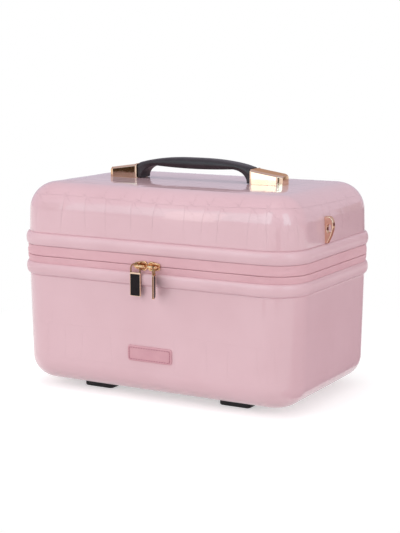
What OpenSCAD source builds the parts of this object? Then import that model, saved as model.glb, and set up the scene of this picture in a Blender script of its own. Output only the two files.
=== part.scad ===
// Hard-shell beauty case: a zipped clamshell with a lifting top handle, strap lugs and feet.
// The floor is z = 0, the front is -Y, and the case is centred on the origin in X and Y.

/* [Shells] */
// Width of the shell walls at the zip
case_w = 340; // [300:5:380]
// Depth of the shell walls at the zip
case_d = 215; // [195:5:250]
// Height of the base shell, from its underside to its rim
base_h = 134.4; // [110:1:160]
// Height of the lid shell's wall and top fillet
lid_h = 68.5; // [60:0.5:90]
// Rise of the lid's crown above the fillet
lid_crown = 1.1; // [0.6:0.1:2]
// Width over which the crown rises
crown_run = 24; // [16:1:28]
// Plan radius of the vertical corners
corner_r = 37; // [34:1:44]
// Radius of the lid's top edge
lid_edge_r = 31; // [26:1:34]
// Radius of the base's bottom edge
base_edge_r = 27; // [22:1:30]
// Inward lean of the base walls in degrees
base_draft = 1.09; // [0.5:0.1:2]
// Inward lean of the lid walls in degrees
lid_draft = 2.06; // [1:0.1:3]
// Thickness of the moulded shells
shell_t = 2; // [1.6:0.1:2.4]

/* [Piping and zip] */
// Height of the piping on the base
base_piping_h = 13.9; // [11:0.1:15]
// Height of the piping on the lid
lid_piping_h = 14.1; // [11:0.1:15]
// How far the piping stands out of the shell wall
piping_out = 3.6; // [2.8:0.1:4.2]
// Visible height of the zip tape on the base
base_tape_h = 7.2; // [6:0.1:9]
// Visible height of the zip tape on the lid
lid_tape_h = 10.4; // [8:0.1:12]
// How far the zip tape stands out of the shell wall
tape_out = 1.65; // [1.2:0.05:2]
// Thickness of the zip tape with its backing
tape_t = 2.65; // [2:0.05:3.2]
// Open line between the two tapes, which the slider's neck runs in
zip_gap = 1; // [0.8:0.1:1.4]
// Height of each half of the zip coil
coil_h = 3.4; // [2.5:0.1:4.5]
// Thickness of the zip coil behind the tape
coil_t = 1.3; // [1:0.1:1.6]
// Length of the fabric hinge along the back
hinge_l = 196; // [140:2:220]
// Thickness of the fabric hinge
hinge_t = 0.9; // [0.7:0.1:1.2]
// Open line between the halves of the fabric hinge
hinge_slit = 0.3; // [0.2:0.05:0.5]

/* [Lining] */
// Thickness of the stiff bands inside both rims
band_t = 1.2; // [0.8:0.1:1.6]
// Thickness of the foam-backed lining
lining_t = 2.4; // [1.8:0.1:2.8]
// Thickness of the glue line behind the base's lining
glue_t = 0.1; // [0.05:0.05:0.2]
// Space under the lining's floor for the foot screws' heads
floor_gap = 2.8; // [2.6:0.1:4]
// Space over the lining's ceiling for the handle's plates and screw heads
ceiling_gap = 4.4; // [4.3:0.1:6]
// Thickness of the padded floor board
board_t = 3; // [2:0.5:4]
// How far the floor board reaches past the flat of the floor
board_out = 5; // [1:0.5:6]
// Height of the lid pocket's net above the lid's rim
net_up = 36; // [28:1:37]
// Thickness of the pocket net
net_t = 1; // [0.8:0.1:1.4]
// Width of the elastic binding along the net's free edge
binding_w = 9; // [7:1:12]
// Thickness of the elastic binding
binding_t = 2.2; // [1.8:0.1:3]
// Distance from the case's middle to the net's free edge
net_edge = 55; // [40:1:65]

/* [Feet] */
// Length of each foot
foot_l = 38; // [30:1:46]
// Depth of each foot
foot_d = 20; // [16:1:24]
// Height of each foot
foot_h = 8; // [7:0.5:11]
// Corner radius of the feet
foot_r = 5; // [3:0.5:7]
// Distance from the case's middle to each foot's middle, across the width
foot_x = 86; // [70:1:95]
// Distance from the case's middle to each foot's middle, across the depth
foot_y = 64; // [50:1:66]
// Distance between the two screws of a foot
foot_screw_gap = 22; // [18:1:24]
// Radius of the feet's screws
foot_screw_r = 1.75; // [1.5:0.05:2]
// Depth of the screws in the feet
foot_screw_in = 5; // [4:0.5:6]

/* [Handle] */
// Distance from the middle to the inner end of each handle cap
cap_x = 71.5; // [68:0.5:80]
// Length of each handle cap
cap_l = 37.5; // [35:0.5:40]
// Width of the handle caps
cap_w = 24.5; // [22:0.5:27]
// Height of the handle caps at their inner end
cap_h_in = 16; // [15.5:0.5:20]
// Height of the handle caps at their outer end
cap_h_out = 10.5; // [9.5:0.5:12]
// Width of the chamfers at the caps' outer end
cap_chamfer = 5; // [3:0.5:6]
// Width of the bevel along the caps' top
cap_bevel = 2.1; // [1.5:0.1:3.5]
// Length of the collar at the caps' inner end
collar_l = 2; // [1.2:0.1:3]
// How far the collar stands out of the cap
collar_out = 0.4; // [0.3:0.1:1]
// How far the handle lifts
handle_lift = 6; // [4:0.5:6]
// Height of the grip's top above the lid
grip_top = 25.2; // [24:0.2:30]
// How much lower the grip's top is at its ends
grip_drop = 7.7; // [6:0.1:9]
// Height of the finger gap under the grip's ends
grip_gap = 14.6; // [13:0.2:17]
// How much lower the grip's underside is in its middle
grip_sag = 1.6; // [0:0.1:3]
// Length of the curve from the grip's foot to its underside
arch_l = 20; // [18:1:30]
// Thickness of the grip's feet along the handle
grip_foot = 3.8; // [3.6:0.1:6]
// Width of the grip
grip_w = 22; // [18:0.5:24]
// Clearance around the grip where it meets the caps and the lid
grip_clear = 0.4; // [0.3:0.05:0.6]
// Thickness of the steel core
core_t = 2; // [1.5:0.1:2.4]
// Width of the steel core
core_w = 13; // [10:0.5:14]
// Depth of the core below the grip's top
core_deep = 5.2; // [4.4:0.1:6]
// Length of the core's tongue inside each cap
tongue_l = 16; // [12:0.5:17]
// Height of the tongue above the lid at rest
tongue_up = 1; // [0.5:0.1:1.2]
// Width of the space inside the caps
pocket_w = 15; // [14.5:0.5:16]
// Length of the space inside the caps
pocket_l = 18; // [17.5:0.5:19]
// Height of the space inside the caps
pocket_h = 11; // [10.5:0.25:11.5]
// Radius of the return springs
spring_r = 2.6; // [2:0.1:3]
// Radius of the spring wire
spring_wire = 0.3; // [0.25:0.05:0.35]
// Turns of each return spring
spring_turns = 3; // [2:1:4]
// Distance from the caps' inner end to the springs
spring_in = 9; // [6:0.5:11]
// Distance from the caps' inner end to their screws
cap_screw_in = 24; // [22:0.5:26]
// Distance between the two screws of a cap
cap_screw_gap = 10; // [8:0.5:12]
// Radius of the caps' screws
cap_screw_r = 2; // [1.5:0.1:2.2]
// Depth of the screws in the caps
cap_screw_up = 7; // [5:0.5:8]
// Thickness of the steel backing plates
backing_t = 1.5; // [1:0.1:1.8]
// Space between the backing plates' edge and the caps' edge
backing_out = 2; // [1:0.5:4]

/* [Strap lugs] */
// Distance from the case's middle to the strap lugs, towards the front
lug_y = 28; // [0:1:50]
// Height of the strap lugs
lug_h = 28; // [26:0.5:34]
// How far the strap lugs stand out
lug_out = 9.3; // [8.5:0.1:11]
// Thickness of the strap lugs
lug_t = 6; // [4.5:0.1:8]
// Height of the lugs' lowest point above the lid's piping
lug_up = 1; // [0.2:0.1:3]
// Width of the hole in each lug
eye_w = 5; // [4.5:0.1:5.4]
// Height of the hole in each lug
eye_h = 9; // [7:0.5:10]
// Space between the wall and the hole in each lug
eye_in = 2.2; // [1.6:0.1:2.4]
// Radius of the lugs' screws
lug_screw_r = 1.4; // [1.1:0.1:1.6]
// Depth of the screws in the lugs
lug_screw_in = 3; // [2:0.5:3]
// Width of the lugs' backing plates
lug_plate_w = 12; // [10:1:16]

/* [Sliders and pulls] */
// Where the two sliders meet, to the right of the middle
meet_x = 2.4; // [0:0.2:8]
// Length of each slider
slider_l = 15.2; // [14:0.2:17]
// Height of each slider
slider_h = 10.4; // [9:0.2:12]
// Space between the two closed sliders
slider_gap = 0.4; // [0.3:0.1:1]
// Space between a slider's plates and the zip
slider_clear = 0.35; // [0.3:0.05:0.5]
// Thickness of a slider's front plate
slider_t = 1.6; // [1.2:0.1:1.8]
// Thickness of a slider's rear plate
slider_rear_t = 1.35; // [1:0.05:1.6]
// Thickness of the neck between a slider's plates
neck_t = 0.4; // [0.3:0.05:0.5]
// Distance of the slider's bridge bar from the shell wall
bridge_out = 8.2; // [7.8:0.1:9]
// Radius of the slider's bridge bar
bridge_r = 0.9; // [0.7:0.05:1]
// Radius of the posts at the bridge's ends
post_r = 1; // [0.9:0.05:1.1]
// Distance of the posts from the slider's ends
post_inset = 0.9; // [0:0.1:1]
// Distance of the right pull from the middle of its bridge bar
hang_x = 3.4; // [0:0.1:3.4]
// Radius of the shackle's wire
shackle_r = 0.8; // [0.6:0.05:0.9]
// Height of the shackle above its tag
shackle_h = 10; // [9:0.5:13]
// Width of each pull tag
tag_w = 12.8; // [11:0.2:15]
// Height of each pull tag
tag_h = 25.5; // [18:0.5:30]
// Thickness of each pull tag
tag_t = 1.9; // [1.7:0.1:2.3]
// Width of the metal rim at the sides and foot of the tag's inlay
tag_rim = 0.6; // [0.5:0.1:1.6]
// Height of the metal bar above the tag's inlay
tag_head = 1.8; // [1.2:0.1:3]
// Depth of the recess that holds the inlay
inlay_t = 0.5; // [0.3:0.1:0.6]
// Clearance between a shackle and what it hangs on
link_clear = 0.1; // [0.05:0.05:0.2]
// Distance of the left tag's middle from the shell wall
tag_out = 5.3; // [5.1:0.1:5.6]
// Turn of the right tag out of the plane square to the front
tag_turn = 22; // [10:1:30]
// Space between the hanging right tag and the piping
tag_rest = 0.35; // [0.3:0.05:0.6]

/* [Front plate] */
// Width of the plain plate on the front
plate_w = 54.6; // [40:0.2:70]
// Height of the plain plate on the front
plate_h = 17; // [12:0.5:22]
// Thickness of the plain plate
plate_t = 1.5; // [1:0.1:2.5]
// Distance from the middle to the plate's middle
plate_x = 1.9; // [-10:0.1:10]
// Height of the plate's middle above the base shell's underside
plate_z = 45.8; // [40:0.2:80]
// Distance between the plate's studs
stud_gap = 36; // [24:1:44]
// Radius of the plate's studs
stud_r = 1.4; // [1:0.1:1.8]
// Radius of the push nuts on the studs
nut_r = 4; // [3:0.5:5]
// Thickness of the push nuts
nut_t = 0.8; // [0.5:0.1:1]

/* [Hidden] */

// Colours
PINK = [0.87, 0.72, 0.75];
PIPING = [0.9, 0.76, 0.79];
TAPE = [0.85, 0.68, 0.71];
WEB = [0.8, 0.62, 0.66];
LINING = [0.83, 0.7, 0.72];
NET = [0.75, 0.6, 0.64];
BLACK = [0.14, 0.13, 0.14];
GRIP = [0.2, 0.19, 0.21];
GOLD = [0.86, 0.68, 0.55];
STEEL = [0.7, 0.7, 0.72];
BAND = [0.3, 0.28, 0.3];

// Facets of the corners, the edge fillets and the piping
corner_steps = 10;
edge_steps = 8;
piping_steps = 8;
crown_steps = 3;
round_steps = 4;
// Smallest plan radius where a ring lies further in than the corner radius
ring_r_min = 2;
// Length by which cuts run past the faces that they open
past = 1;

// Heights above the base shell's underside
zip_z = base_h + base_tape_h + zip_gap / 2;
lid_rim = zip_z + zip_gap / 2 + lid_tape_h;
lid_edge_z = lid_rim + lid_h - lid_edge_r;
lid_top = lid_rim + lid_h + lid_crown;

// How far the case reaches out of its front and back walls
tag_reach = (tag_w * cos(tag_turn) + tag_t * sin(tag_turn)) / 2;
tag_right_out = piping_out + tag_rest + tag_reach;
case_y = (tag_right_out + tag_reach - piping_out) / 2;

// Inner faces of the slider's plates
front_in = tape_out + slider_clear;
rear_in = tape_out - tape_t - coil_t - slider_clear;

// Slider and pull places
slider_left_x = meet_x - slider_gap / 2 - slider_l / 2;
slider_right_x = meet_x + slider_gap / 2 + slider_l / 2;
post_in = slider_l / 2 - post_r - post_inset;
arch_r = tag_w / 2 - shackle_r;
leg_l = shackle_h - arch_r - shackle_r;
tag_r = 0.8;
leg_in = 0.75 * tag_r;
pull_left_x = slider_left_x - post_in;
pull_left_z = zip_z - (arch_r - shackle_r - post_r - link_clear);
hang_out = (tag_right_out - bridge_out) / cos(tag_turn);
hang_r = arch_r - shackle_r - bridge_r - link_clear;
pull_right_z = zip_z - sqrt(pow(hang_r, 2) - pow(hang_out, 2));
pull_right_x = slider_right_x + hang_x + hang_out * sin(tag_turn);

// Screw heads
foot_head_r = 3.4;
foot_head_h = 2.2;
cap_head_r = 3.8;
cap_head_h = 2.4;
lug_head_r = 2.6;
lug_head_h = 1.4;
lug_plate_t = 1;
lug_plate_in = 0.35;
lug_plate_margin = 2.3;
lug_screw_low = 5.5;
lug_screw_high = 4.5;
lug_screw_z = [lug_screw_low, lug_h - lug_screw_high];

// Offset of each wall from its place at the rim, at a height
function base_out(z) = -tan(base_draft) * (base_h - z);
function lid_out(z) = -tan(lid_draft) * (z - lid_rim);
function reversed(list) = [for (i = [len(list) - 1:-1:0]) list[i]];

// Points round a rectangle with round corners, anticlockwise
function round_rect(w, d, r, steps) = [
    for (q = [0:3]) for (i = [0:steps])
        let (a = 90 * (q + i / steps),
            cx = (q == 0 || q == 3 ? 1 : -1) * (w / 2 - r),
            cy = (q < 2 ? 1 : -1) * (d / 2 - r))
        [cx + r * cos(a), cy + r * sin(a)]
];

function at_z(points, z) = [for (p = points) [p[0], p[1], z]];
function at_x(points, x) = [for (p = points) [x, p[0], p[1]]];

// One ring round the case, this far out of its walls
function ring(out, z) = at_z(
    round_rect(case_w + 2 * out, case_d + 2 * out, max(corner_r + out, ring_r_min), corner_steps), z);
function rings(profile) = [for (p = profile) ring(p[0], p[1])];

// Section of the base from its floor up to the rim, this far inside its outer face
function base_profile(inset, lift) = concat(
    [for (i = [0:edge_steps])
        let (a = -90 + 90 * i / edge_steps)
        [base_out(base_edge_r) - base_edge_r + (base_edge_r - inset) * cos(a),
            base_edge_r + (base_edge_r - inset - lift) * sin(a)]],
    [[base_out(base_h) - inset, base_h]]);

// Section of the lid from its rim up to its flat top, this far inside its outer face
function lid_profile(inset, drop) = concat(
    [[lid_out(lid_rim) - inset, lid_rim]],
    [for (i = [0:edge_steps])
        let (a = 90 * i / edge_steps)
        [lid_out(lid_edge_z) - lid_edge_r + (lid_edge_r - inset) * cos(a),
            lid_edge_z + (lid_edge_r - inset - drop) * sin(a)]],
    [for (i = [1:crown_steps])
        let (t = i / crown_steps)
        [lid_out(lid_edge_z) - lid_edge_r - crown_run * t,
            lid_rim + lid_h - inset - drop + lid_crown * (1 - pow(1 - t, 2))]]);

// Closed mesh through rings of equal length, capped at both ends or joined end to end
module skin(list, closed = false) {
    n = len(list[0]);
    m = len(list);
    sides = [for (i = [0:m - (closed ? 1 : 2)]) for (j = [0:n - 1])
        [i * n + j, ((i + 1) % m) * n + j, ((i + 1) % m) * n + (j + 1) % n, i * n + (j + 1) % n]];
    caps = [[for (j = [0:n - 1]) j], [for (j = [n - 1:-1:0]) (m - 1) * n + j]];
    polyhedron(points = [for (r = list) each r], faces = closed ? sides : concat(sides, caps));
}

module placed() translate([0, case_y, foot_h]) children();

module both_sides() {
    children();
    mirror([1, 0, 0]) children();
}

// Rod along Y that starts this far out of the front wall and runs outwards
module front_rod(x, out, z, r, length) translate([x, -case_d / 2 - out, z]) rotate([90, 0, 0])
    cylinder(r = r, h = length, $fn = 32);

// Foot screws

module at_foot(sx, sy) translate([sx * foot_x, sy * foot_y, 0]) children();

module at_foot_screws() for (s = [-1, 1]) translate([s * foot_screw_gap / 2, 0, 0]) children();

module foot_shanks(r) at_foot_screws() translate([0, 0, -foot_screw_in])
    cylinder(r = r, h = foot_screw_in + shell_t, $fn = 32);

module foot_screws() color(STEEL) placed() for (sx = [-1, 1]) for (sy = [-1, 1]) at_foot(sx, sy) {
    foot_shanks(foot_screw_r);
    at_foot_screws() translate([0, 0, shell_t]) cylinder(r = foot_head_r, h = foot_head_h, $fn = 32);
}

// Feet
foot_chamfer = 1.5;
foot_taper = 0.5;

module foot(sx, sy) color(BLACK) placed() at_foot(sx, sy) difference() {
    skin([
        at_z(round_rect(foot_l - 2 * foot_chamfer, foot_d - 2 * foot_chamfer,
            foot_r - foot_chamfer, round_steps), -foot_h),
        at_z(round_rect(foot_l - foot_taper, foot_d - foot_taper, foot_r, round_steps),
            -foot_h + foot_chamfer),
        at_z(round_rect(foot_l, foot_d, foot_r, round_steps), 0)
    ]);
    foot_shanks(foot_screw_r);
}

module foot_front_left() foot(-1, -1);
module foot_front_right() foot(1, -1);
module foot_rear_left() foot(-1, 1);
module foot_rear_right() foot(1, 1);

// Plain plate on the front wall
plate_r = 3;
plate_edge = 0.8;
nut_clear = 0.3;

module at_plate() translate([plate_x, -case_d / 2 - base_out(plate_z), plate_z])
    rotate([90 + base_draft, 0, 0]) children();

module at_studs() for (s = [-1, 1]) translate([s * stud_gap / 2, 0, 0]) children();

module studs(length) at_plate() at_studs() translate([0, 0, -length])
    cylinder(r = stud_r, h = length, $fn = 32);

module front_plate() color(PIPING) placed() union() {
    at_plate() skin([
        at_z(round_rect(plate_w, plate_h, plate_r, round_steps), 0),
        at_z(round_rect(plate_w, plate_h, plate_r, round_steps), plate_t - plate_edge),
        at_z(round_rect(plate_w - 2 * plate_edge, plate_h - 2 * plate_edge,
            plate_r - plate_edge, round_steps), plate_t)
    ]);
    studs(shell_t + nut_t);
}

module front_plate_nuts() color(STEEL) placed() difference() {
    at_plate() at_studs() translate([0, 0, -shell_t - nut_t]) cylinder(r = nut_r, h = nut_t, $fn = 32);
    studs(shell_t + nut_t + past);
}

// Base

module base_shell() color(PINK) placed() difference() {
    skin(rings(concat(base_profile(0, 0), reversed(base_profile(shell_t, 0)))));
    for (sx = [-1, 1]) for (sy = [-1, 1]) at_foot(sx, sy) foot_shanks(foot_screw_r);
    studs(shell_t + past);
}

module piping(z, h, out0, out1) color(PIPING) placed() skin(rings(
    [for (i = [0:piping_steps])
        let (a = 180 * i / piping_steps, t = (1 - cos(a)) / 2)
        [out0 + (out1 - out0) * t + piping_out * sin(a), z + h * t]]), closed = true);

module base_piping() piping(base_h - base_piping_h, base_piping_h,
    base_out(base_h - base_piping_h), base_out(base_h));

// Band of constant section round the case, between two offsets and two heights
module band(out_in, out_out, z0, z1) skin(rings(
    [[out_out, z0], [out_out, z1], [out_in, z1], [out_in, z0]]), closed = true);

module base_zip_tape() color(TAPE) placed()
    band(tape_out - tape_t, tape_out, base_h, zip_z - zip_gap / 2);

module base_zip_coil() color(TAPE) placed() band(tape_out - tape_t - coil_t, tape_out - tape_t,
    zip_z - zip_gap / 2 - coil_h, zip_z - zip_gap / 2);

// Stiff bands inside the rims, as high as the piping that is stitched to them
base_band_z = base_h - base_piping_h;
lid_band_z = lid_rim + lid_piping_h;

module base_rim_band() color(BAND) placed() skin(rings([
    [base_out(base_band_z) - shell_t, base_band_z],
    [base_out(base_h) - shell_t, base_h],
    [base_out(base_h) - shell_t - band_t, base_h],
    [base_out(base_band_z) - shell_t - band_t, base_band_z]
]), closed = true);

lining_in = shell_t + lining_t;

module base_lining() color(LINING) placed() difference() {
    skin(rings(concat(
        [for (i = [0:edge_steps]) base_profile(shell_t + glue_t, floor_gap)[i]],
        [
            [base_out(base_band_z) - shell_t - glue_t, base_band_z],
            [base_out(base_band_z) - shell_t - band_t, base_band_z],
            [base_out(base_h) - shell_t - band_t, base_h]
        ],
        reversed(base_profile(lining_in, floor_gap)))));
    at_plate() at_studs() translate([0, 0, -shell_t - nut_t - nut_clear])
        cylinder(r = nut_r + nut_clear, h = nut_t + nut_clear, $fn = 32);
}

board_w = case_w + 2 * (base_out(base_edge_r) - base_edge_r);
board_d = case_d + 2 * (base_out(base_edge_r) - base_edge_r);
board_z = lining_in + floor_gap;
board_edge = 1;
board_r = corner_r + base_out(base_edge_r) - base_edge_r;

module base_board() color(LINING) placed() skin([
    for (p = [[0, 0], [board_out, board_edge], [board_out, board_t - board_edge],
        [board_out - board_edge, board_t]])
        at_z(round_rect(board_w + 2 * p[0], board_d + 2 * p[0], board_r + p[0], round_steps),
            board_z + p[1])
]);

// Fabric hinge along the back, in the recess between the two rows of piping
module hinge_web(z0, z1) color(WEB) placed()
    translate([-hinge_l / 2, case_d / 2 + tape_out, z0]) cube([hinge_l, hinge_t, z1 - z0]);

module hinge_web_lower() hinge_web(base_h, zip_z - hinge_slit / 2);
module hinge_web_upper() hinge_web(zip_z + hinge_slit / 2, lid_rim);

// Screws and plates that hold the handle

module at_cap_screws() for (s = [-1, 1]) translate([cap_x + cap_screw_in, s * cap_screw_gap / 2, 0])
    children();

module cap_shanks() at_cap_screws() translate([0, 0, lid_top - shell_t - backing_t])
    cylinder(r = cap_screw_r, h = shell_t + backing_t + cap_screw_up, $fn = 32);

module handle_screws() color(STEEL) placed() both_sides() {
    cap_shanks();
    at_cap_screws() translate([0, 0, lid_top - shell_t - backing_t - cap_head_h])
        cylinder(r = cap_head_r, h = cap_head_h, $fn = 32);
}

module backing() color(STEEL) difference() {
    translate([cap_x + cap_l / 2, 0, lid_top - shell_t - backing_t]) linear_extrude(backing_t)
        polygon(round_rect(cap_l - 2 * backing_out, cap_w, backing_out, round_steps));
    cap_shanks();
}

module handle_backing_right() placed() backing();
module handle_backing_left() placed() mirror([1, 0, 0]) backing();

// Strap lugs

module at_lug() translate([case_w / 2 + lid_out(lid_rim + lid_piping_h + lug_up), -lug_y,
    lid_rim + lid_piping_h + lug_up]) rotate([0, -lid_draft, 0]) children();

// Shank of a lug screw, from this far inside the wall's face to this far outside it
module lug_shanks(inside, outside) at_lug() for (z = lug_screw_z) translate([-inside, 0, z])
    rotate([0, 90, 0]) cylinder(r = lug_screw_r, h = inside + outside, $fn = 32);

lug_head_x = shell_t + lug_plate_in + lug_plate_t;

// Heads of the lug screws, this much larger all round
module lug_heads(extra) at_lug() for (z = lug_screw_z)
    translate([-lug_head_x - lug_head_h - extra, 0, z]) rotate([0, 90, 0])
    cylinder(r = lug_head_r + extra, h = lug_head_h + extra, $fn = 32);

lug_tip = 2.4;
lug_top = 4.8;
lug_belly_z = 0.72;
// Length of the straight stretch at the ends of a lug's hole, halved
eye_flat = 0.3;

module lug_outline() polygon(concat(
    [[0, 0], [lug_tip, 0]],
    [for (i = [1:round_steps])
        let (t = i / round_steps)
        [lug_tip + (lug_out - lug_tip) * sin(90 * t), lug_belly_z * lug_h * t]],
    [for (i = [1:round_steps])
        let (t = i / round_steps)
        [lug_out - (lug_out - lug_top) * (1 - cos(90 * t)),
            lug_h * (lug_belly_z + (1 - lug_belly_z) * sin(90 * t))]],
    [[0, lug_h]]));

module lug() color(GOLD) difference() {
    at_lug() rotate([90, 0, 0]) linear_extrude(lug_t, center = true) difference() {
        lug_outline();
        translate([eye_in + eye_w / 2, lug_belly_z * lug_h - eye_h / 2])
            polygon(round_rect(eye_w, eye_h, eye_w / 2 - eye_flat, round_steps));
    }
    lug_shanks(0, lug_screw_in);
}

// The plate stands a little off the wall, which curves inwards behind its upper end
module lug_plate(extra) at_lug() translate([-lug_head_x - extra, -lug_plate_w / 2 - extra, 0])
    cube([lug_plate_t + extra, lug_plate_w + 2 * extra, lug_h - lug_plate_margin + extra]);

module lug_backing() color(STEEL) difference() {
    lug_plate(0);
    lug_shanks(lug_head_x + past, 0);
}

module strap_lug_right() placed() lug();
module strap_lug_left() placed() mirror([1, 0, 0]) lug();
module lug_backing_right() placed() lug_backing();
module lug_backing_left() placed() mirror([1, 0, 0]) lug_backing();

module lug_screws() color(STEEL) placed() both_sides() {
    lug_shanks(lug_head_x, lug_screw_in);
    lug_heads(0);
}

// Lid

module lid_shell() color(PINK) placed() difference() {
    skin(rings(concat(reversed(lid_profile(shell_t, 0)), lid_profile(0, 0))));
    both_sides() {
        cap_shanks();
        lug_shanks(shell_t + past, past);
    }
}

module lid_piping() piping(lid_rim, lid_piping_h, lid_out(lid_rim), lid_out(lid_rim + lid_piping_h));

module lid_zip_tape() color(TAPE) placed()
    band(tape_out - tape_t, tape_out, zip_z + zip_gap / 2, lid_rim);

module lid_zip_coil() color(TAPE) placed() band(tape_out - tape_t - coil_t, tape_out - tape_t,
    zip_z + zip_gap / 2, zip_z + zip_gap / 2 + coil_h);

module lid_rim_band() color(BAND) placed() skin(rings([
    [lid_out(lid_rim) - shell_t, lid_rim],
    [lid_out(lid_band_z) - shell_t, lid_band_z],
    [lid_out(lid_band_z) - shell_t - band_t, lid_band_z],
    [lid_out(lid_rim) - shell_t - band_t, lid_rim]
]), closed = true);

// The lining leaves room for the lugs' plates and screw heads behind it
lining_clear = 0.3;
lug_room = lug_head_x + lug_head_h + lining_clear - shell_t;

module lid_lining() color(LINING) placed() difference() {
    skin(rings(concat(
        reversed(lid_profile(lining_in + lug_room, ceiling_gap)),
        [
            [lid_out(lid_rim) - shell_t - band_t, lid_rim],
            [lid_out(lid_band_z) - shell_t - band_t, lid_band_z]
        ],
        [for (i = [1:len(lid_profile(0, 0)) - 1])
            lid_profile(shell_t + lug_room, ceiling_gap)[i]])));
    both_sides() {
        lug_heads(lining_clear);
        lug_plate(lining_clear);
    }
}

// Net pocket under the lid's lining, open along its front edge
net_out = lid_out(lid_rim + net_up + net_t) - lining_in - lug_room;

module net_area(inset) difference() {
    polygon(round_rect(case_w + 2 * (net_out - inset), case_d + 2 * (net_out - inset),
        corner_r + net_out - inset, corner_steps));
    translate([-case_w, -net_edge - case_d]) square([2 * case_w, case_d]);
}

module pocket_net() color(NET) placed() translate([0, 0, lid_rim + net_up])
    linear_extrude(net_t) net_area(0);

module pocket_binding() color(NET) placed() translate([0, 0, lid_rim + net_up - binding_t])
    linear_extrude(binding_t) difference() {
        net_area(0);
        net_area_inside();
    }

module net_area_inside() intersection() {
    net_area(binding_w);
    translate([-case_w, -net_edge + binding_w]) square([2 * case_w, 2 * case_d]);
}

// Handle caps

function cap_section(w, h) = [
    [w / 2, 0], [w / 2, h - cap_bevel], [w / 2 - cap_bevel, h],
    [-w / 2 + cap_bevel, h], [-w / 2, h - cap_bevel], [-w / 2, 0]];
function cap_height(x) = cap_h_in + (cap_h_out - cap_h_in) * (x - cap_x) / cap_l;
// Length of the slope from the collar down to the cap
collar_slope = 0.4;

module cap() color(GOLD) difference() {
    translate([0, 0, lid_top]) skin([
        at_x(cap_section(cap_w + 2 * collar_out, cap_h_in + collar_out), cap_x),
        at_x(cap_section(cap_w + 2 * collar_out, cap_h_in + collar_out), cap_x + collar_l),
        at_x(cap_section(cap_w, cap_height(cap_x + collar_l)), cap_x + collar_l + collar_slope),
        at_x(cap_section(cap_w, cap_height(cap_x + cap_l - cap_chamfer)),
            cap_x + cap_l - cap_chamfer),
        at_x(cap_section(cap_w - 2 * cap_chamfer, cap_height(cap_x + cap_l) - collar_out),
            cap_x + cap_l)
    ]);
    translate([cap_x - past, -pocket_w / 2, lid_top - past])
        cube([pocket_l + past, pocket_w, pocket_h + past]);
    cap_shanks();
}

module handle_cap_right() placed() cap();
module handle_cap_left() placed() mirror([1, 0, 0]) cap();

// Return springs between the core's tongues and the roof of the caps
spring_sides = 6;
spring_rings = 12;
spring_z = lid_top + tongue_up + core_t;
spring_l = pocket_h - tongue_up - core_t;

function spring_ring(t) =
    let (a = 360 * spring_turns * t,
        z = spring_z + spring_wire + (spring_l - 2 * spring_wire) * t)
    [for (k = [0:spring_sides - 1])
        let (b = 360 * k / spring_sides, r = spring_r + spring_wire * cos(b))
        [cap_x + spring_in + r * cos(a), r * sin(a), z - spring_wire * sin(b)]];

module handle_springs() color(STEEL) placed() both_sides()
    skin([for (i = [0:spring_turns * spring_rings]) spring_ring(i / (spring_turns * spring_rings))]);

// Grip
grip_steps = 8;
grip_sides = 16;
grip_end = cap_x - grip_clear;
arch_half = grip_end - grip_foot;
grip_square = 0.75;
grip_power = 2.6;

function grip_top_z(x) = grip_top - grip_drop * pow(abs(x) / cap_x, grip_power);
function arch_share(x) = max(0, min(1, (arch_half - abs(x)) / arch_l));
function grip_bow(x) = grip_sag * max(0, 1 - pow(x / (arch_half - arch_l), 2));
function grip_low_z(x) = grip_clear - grip_bow(x)
    + (grip_gap - grip_clear) * sqrt(1 - pow(1 - arch_share(x), 2));
function signed_pow(v, p) = sign(v) * pow(abs(v), p);
function grip_section(x) =
    let (low = grip_low_z(x), high = grip_top_z(x))
    [for (k = [0:grip_sides - 1])
        let (a = 360 * (k + 0.5) / grip_sides)
        [grip_w / 2 * signed_pow(cos(a), grip_square),
            (low + high) / 2 + (high - low) / 2 * signed_pow(sin(a), grip_square)]];
// Stations along one half of the grip, close together where the underside turns
grip_half = concat(
    [for (i = [0:grip_steps - 1]) i / grip_steps * (arch_half - arch_l)],
    [for (i = [0:grip_steps]) arch_half - arch_l * (1 - sin(90 * i / grip_steps))],
    [grip_end]);
grip_stations = concat(
    [for (x = reversed(grip_half)) -x],
    [for (i = [1:len(grip_half) - 1]) grip_half[i]]);

// Steel strip: an arch inside the grip, a leg in each foot and a tongue into each cap
core_cover = 1.1;
leg_x = grip_end - core_cover - core_t;

function core_line(x) = grip_top_z(x) - core_deep;

module core_outline() union() {
    polygon(concat(
        [for (i = [-grip_steps:grip_steps])
            let (x = i / grip_steps * (leg_x + core_t)) [x, core_line(x) - core_t / 2]],
        [for (i = [grip_steps:-1:-grip_steps])
            let (x = i / grip_steps * (leg_x + core_t)) [x, core_line(x) + core_t / 2]]));
    for (s = [0, 1]) mirror([s, 0]) {
        translate([leg_x, tongue_up]) square([core_t, core_line(leg_x + core_t) - tongue_up]);
        translate([leg_x, tongue_up]) square([cap_x + tongue_l - leg_x, core_t]);
    }
}

module core_body() translate([0, core_w / 2, lid_top]) rotate([90, 0, 0])
    linear_extrude(core_w) core_outline();

module handle_core() color(STEEL) placed() core_body();

module handle_grip() color(GRIP) placed() difference() {
    translate([0, 0, lid_top]) skin([for (x = grip_stations) at_x(grip_section(x), x)]);
    core_body();
}

// Sliders
slider_r = 2.2;
rear_in_x = 1;
neck_in_x = 2;

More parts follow.
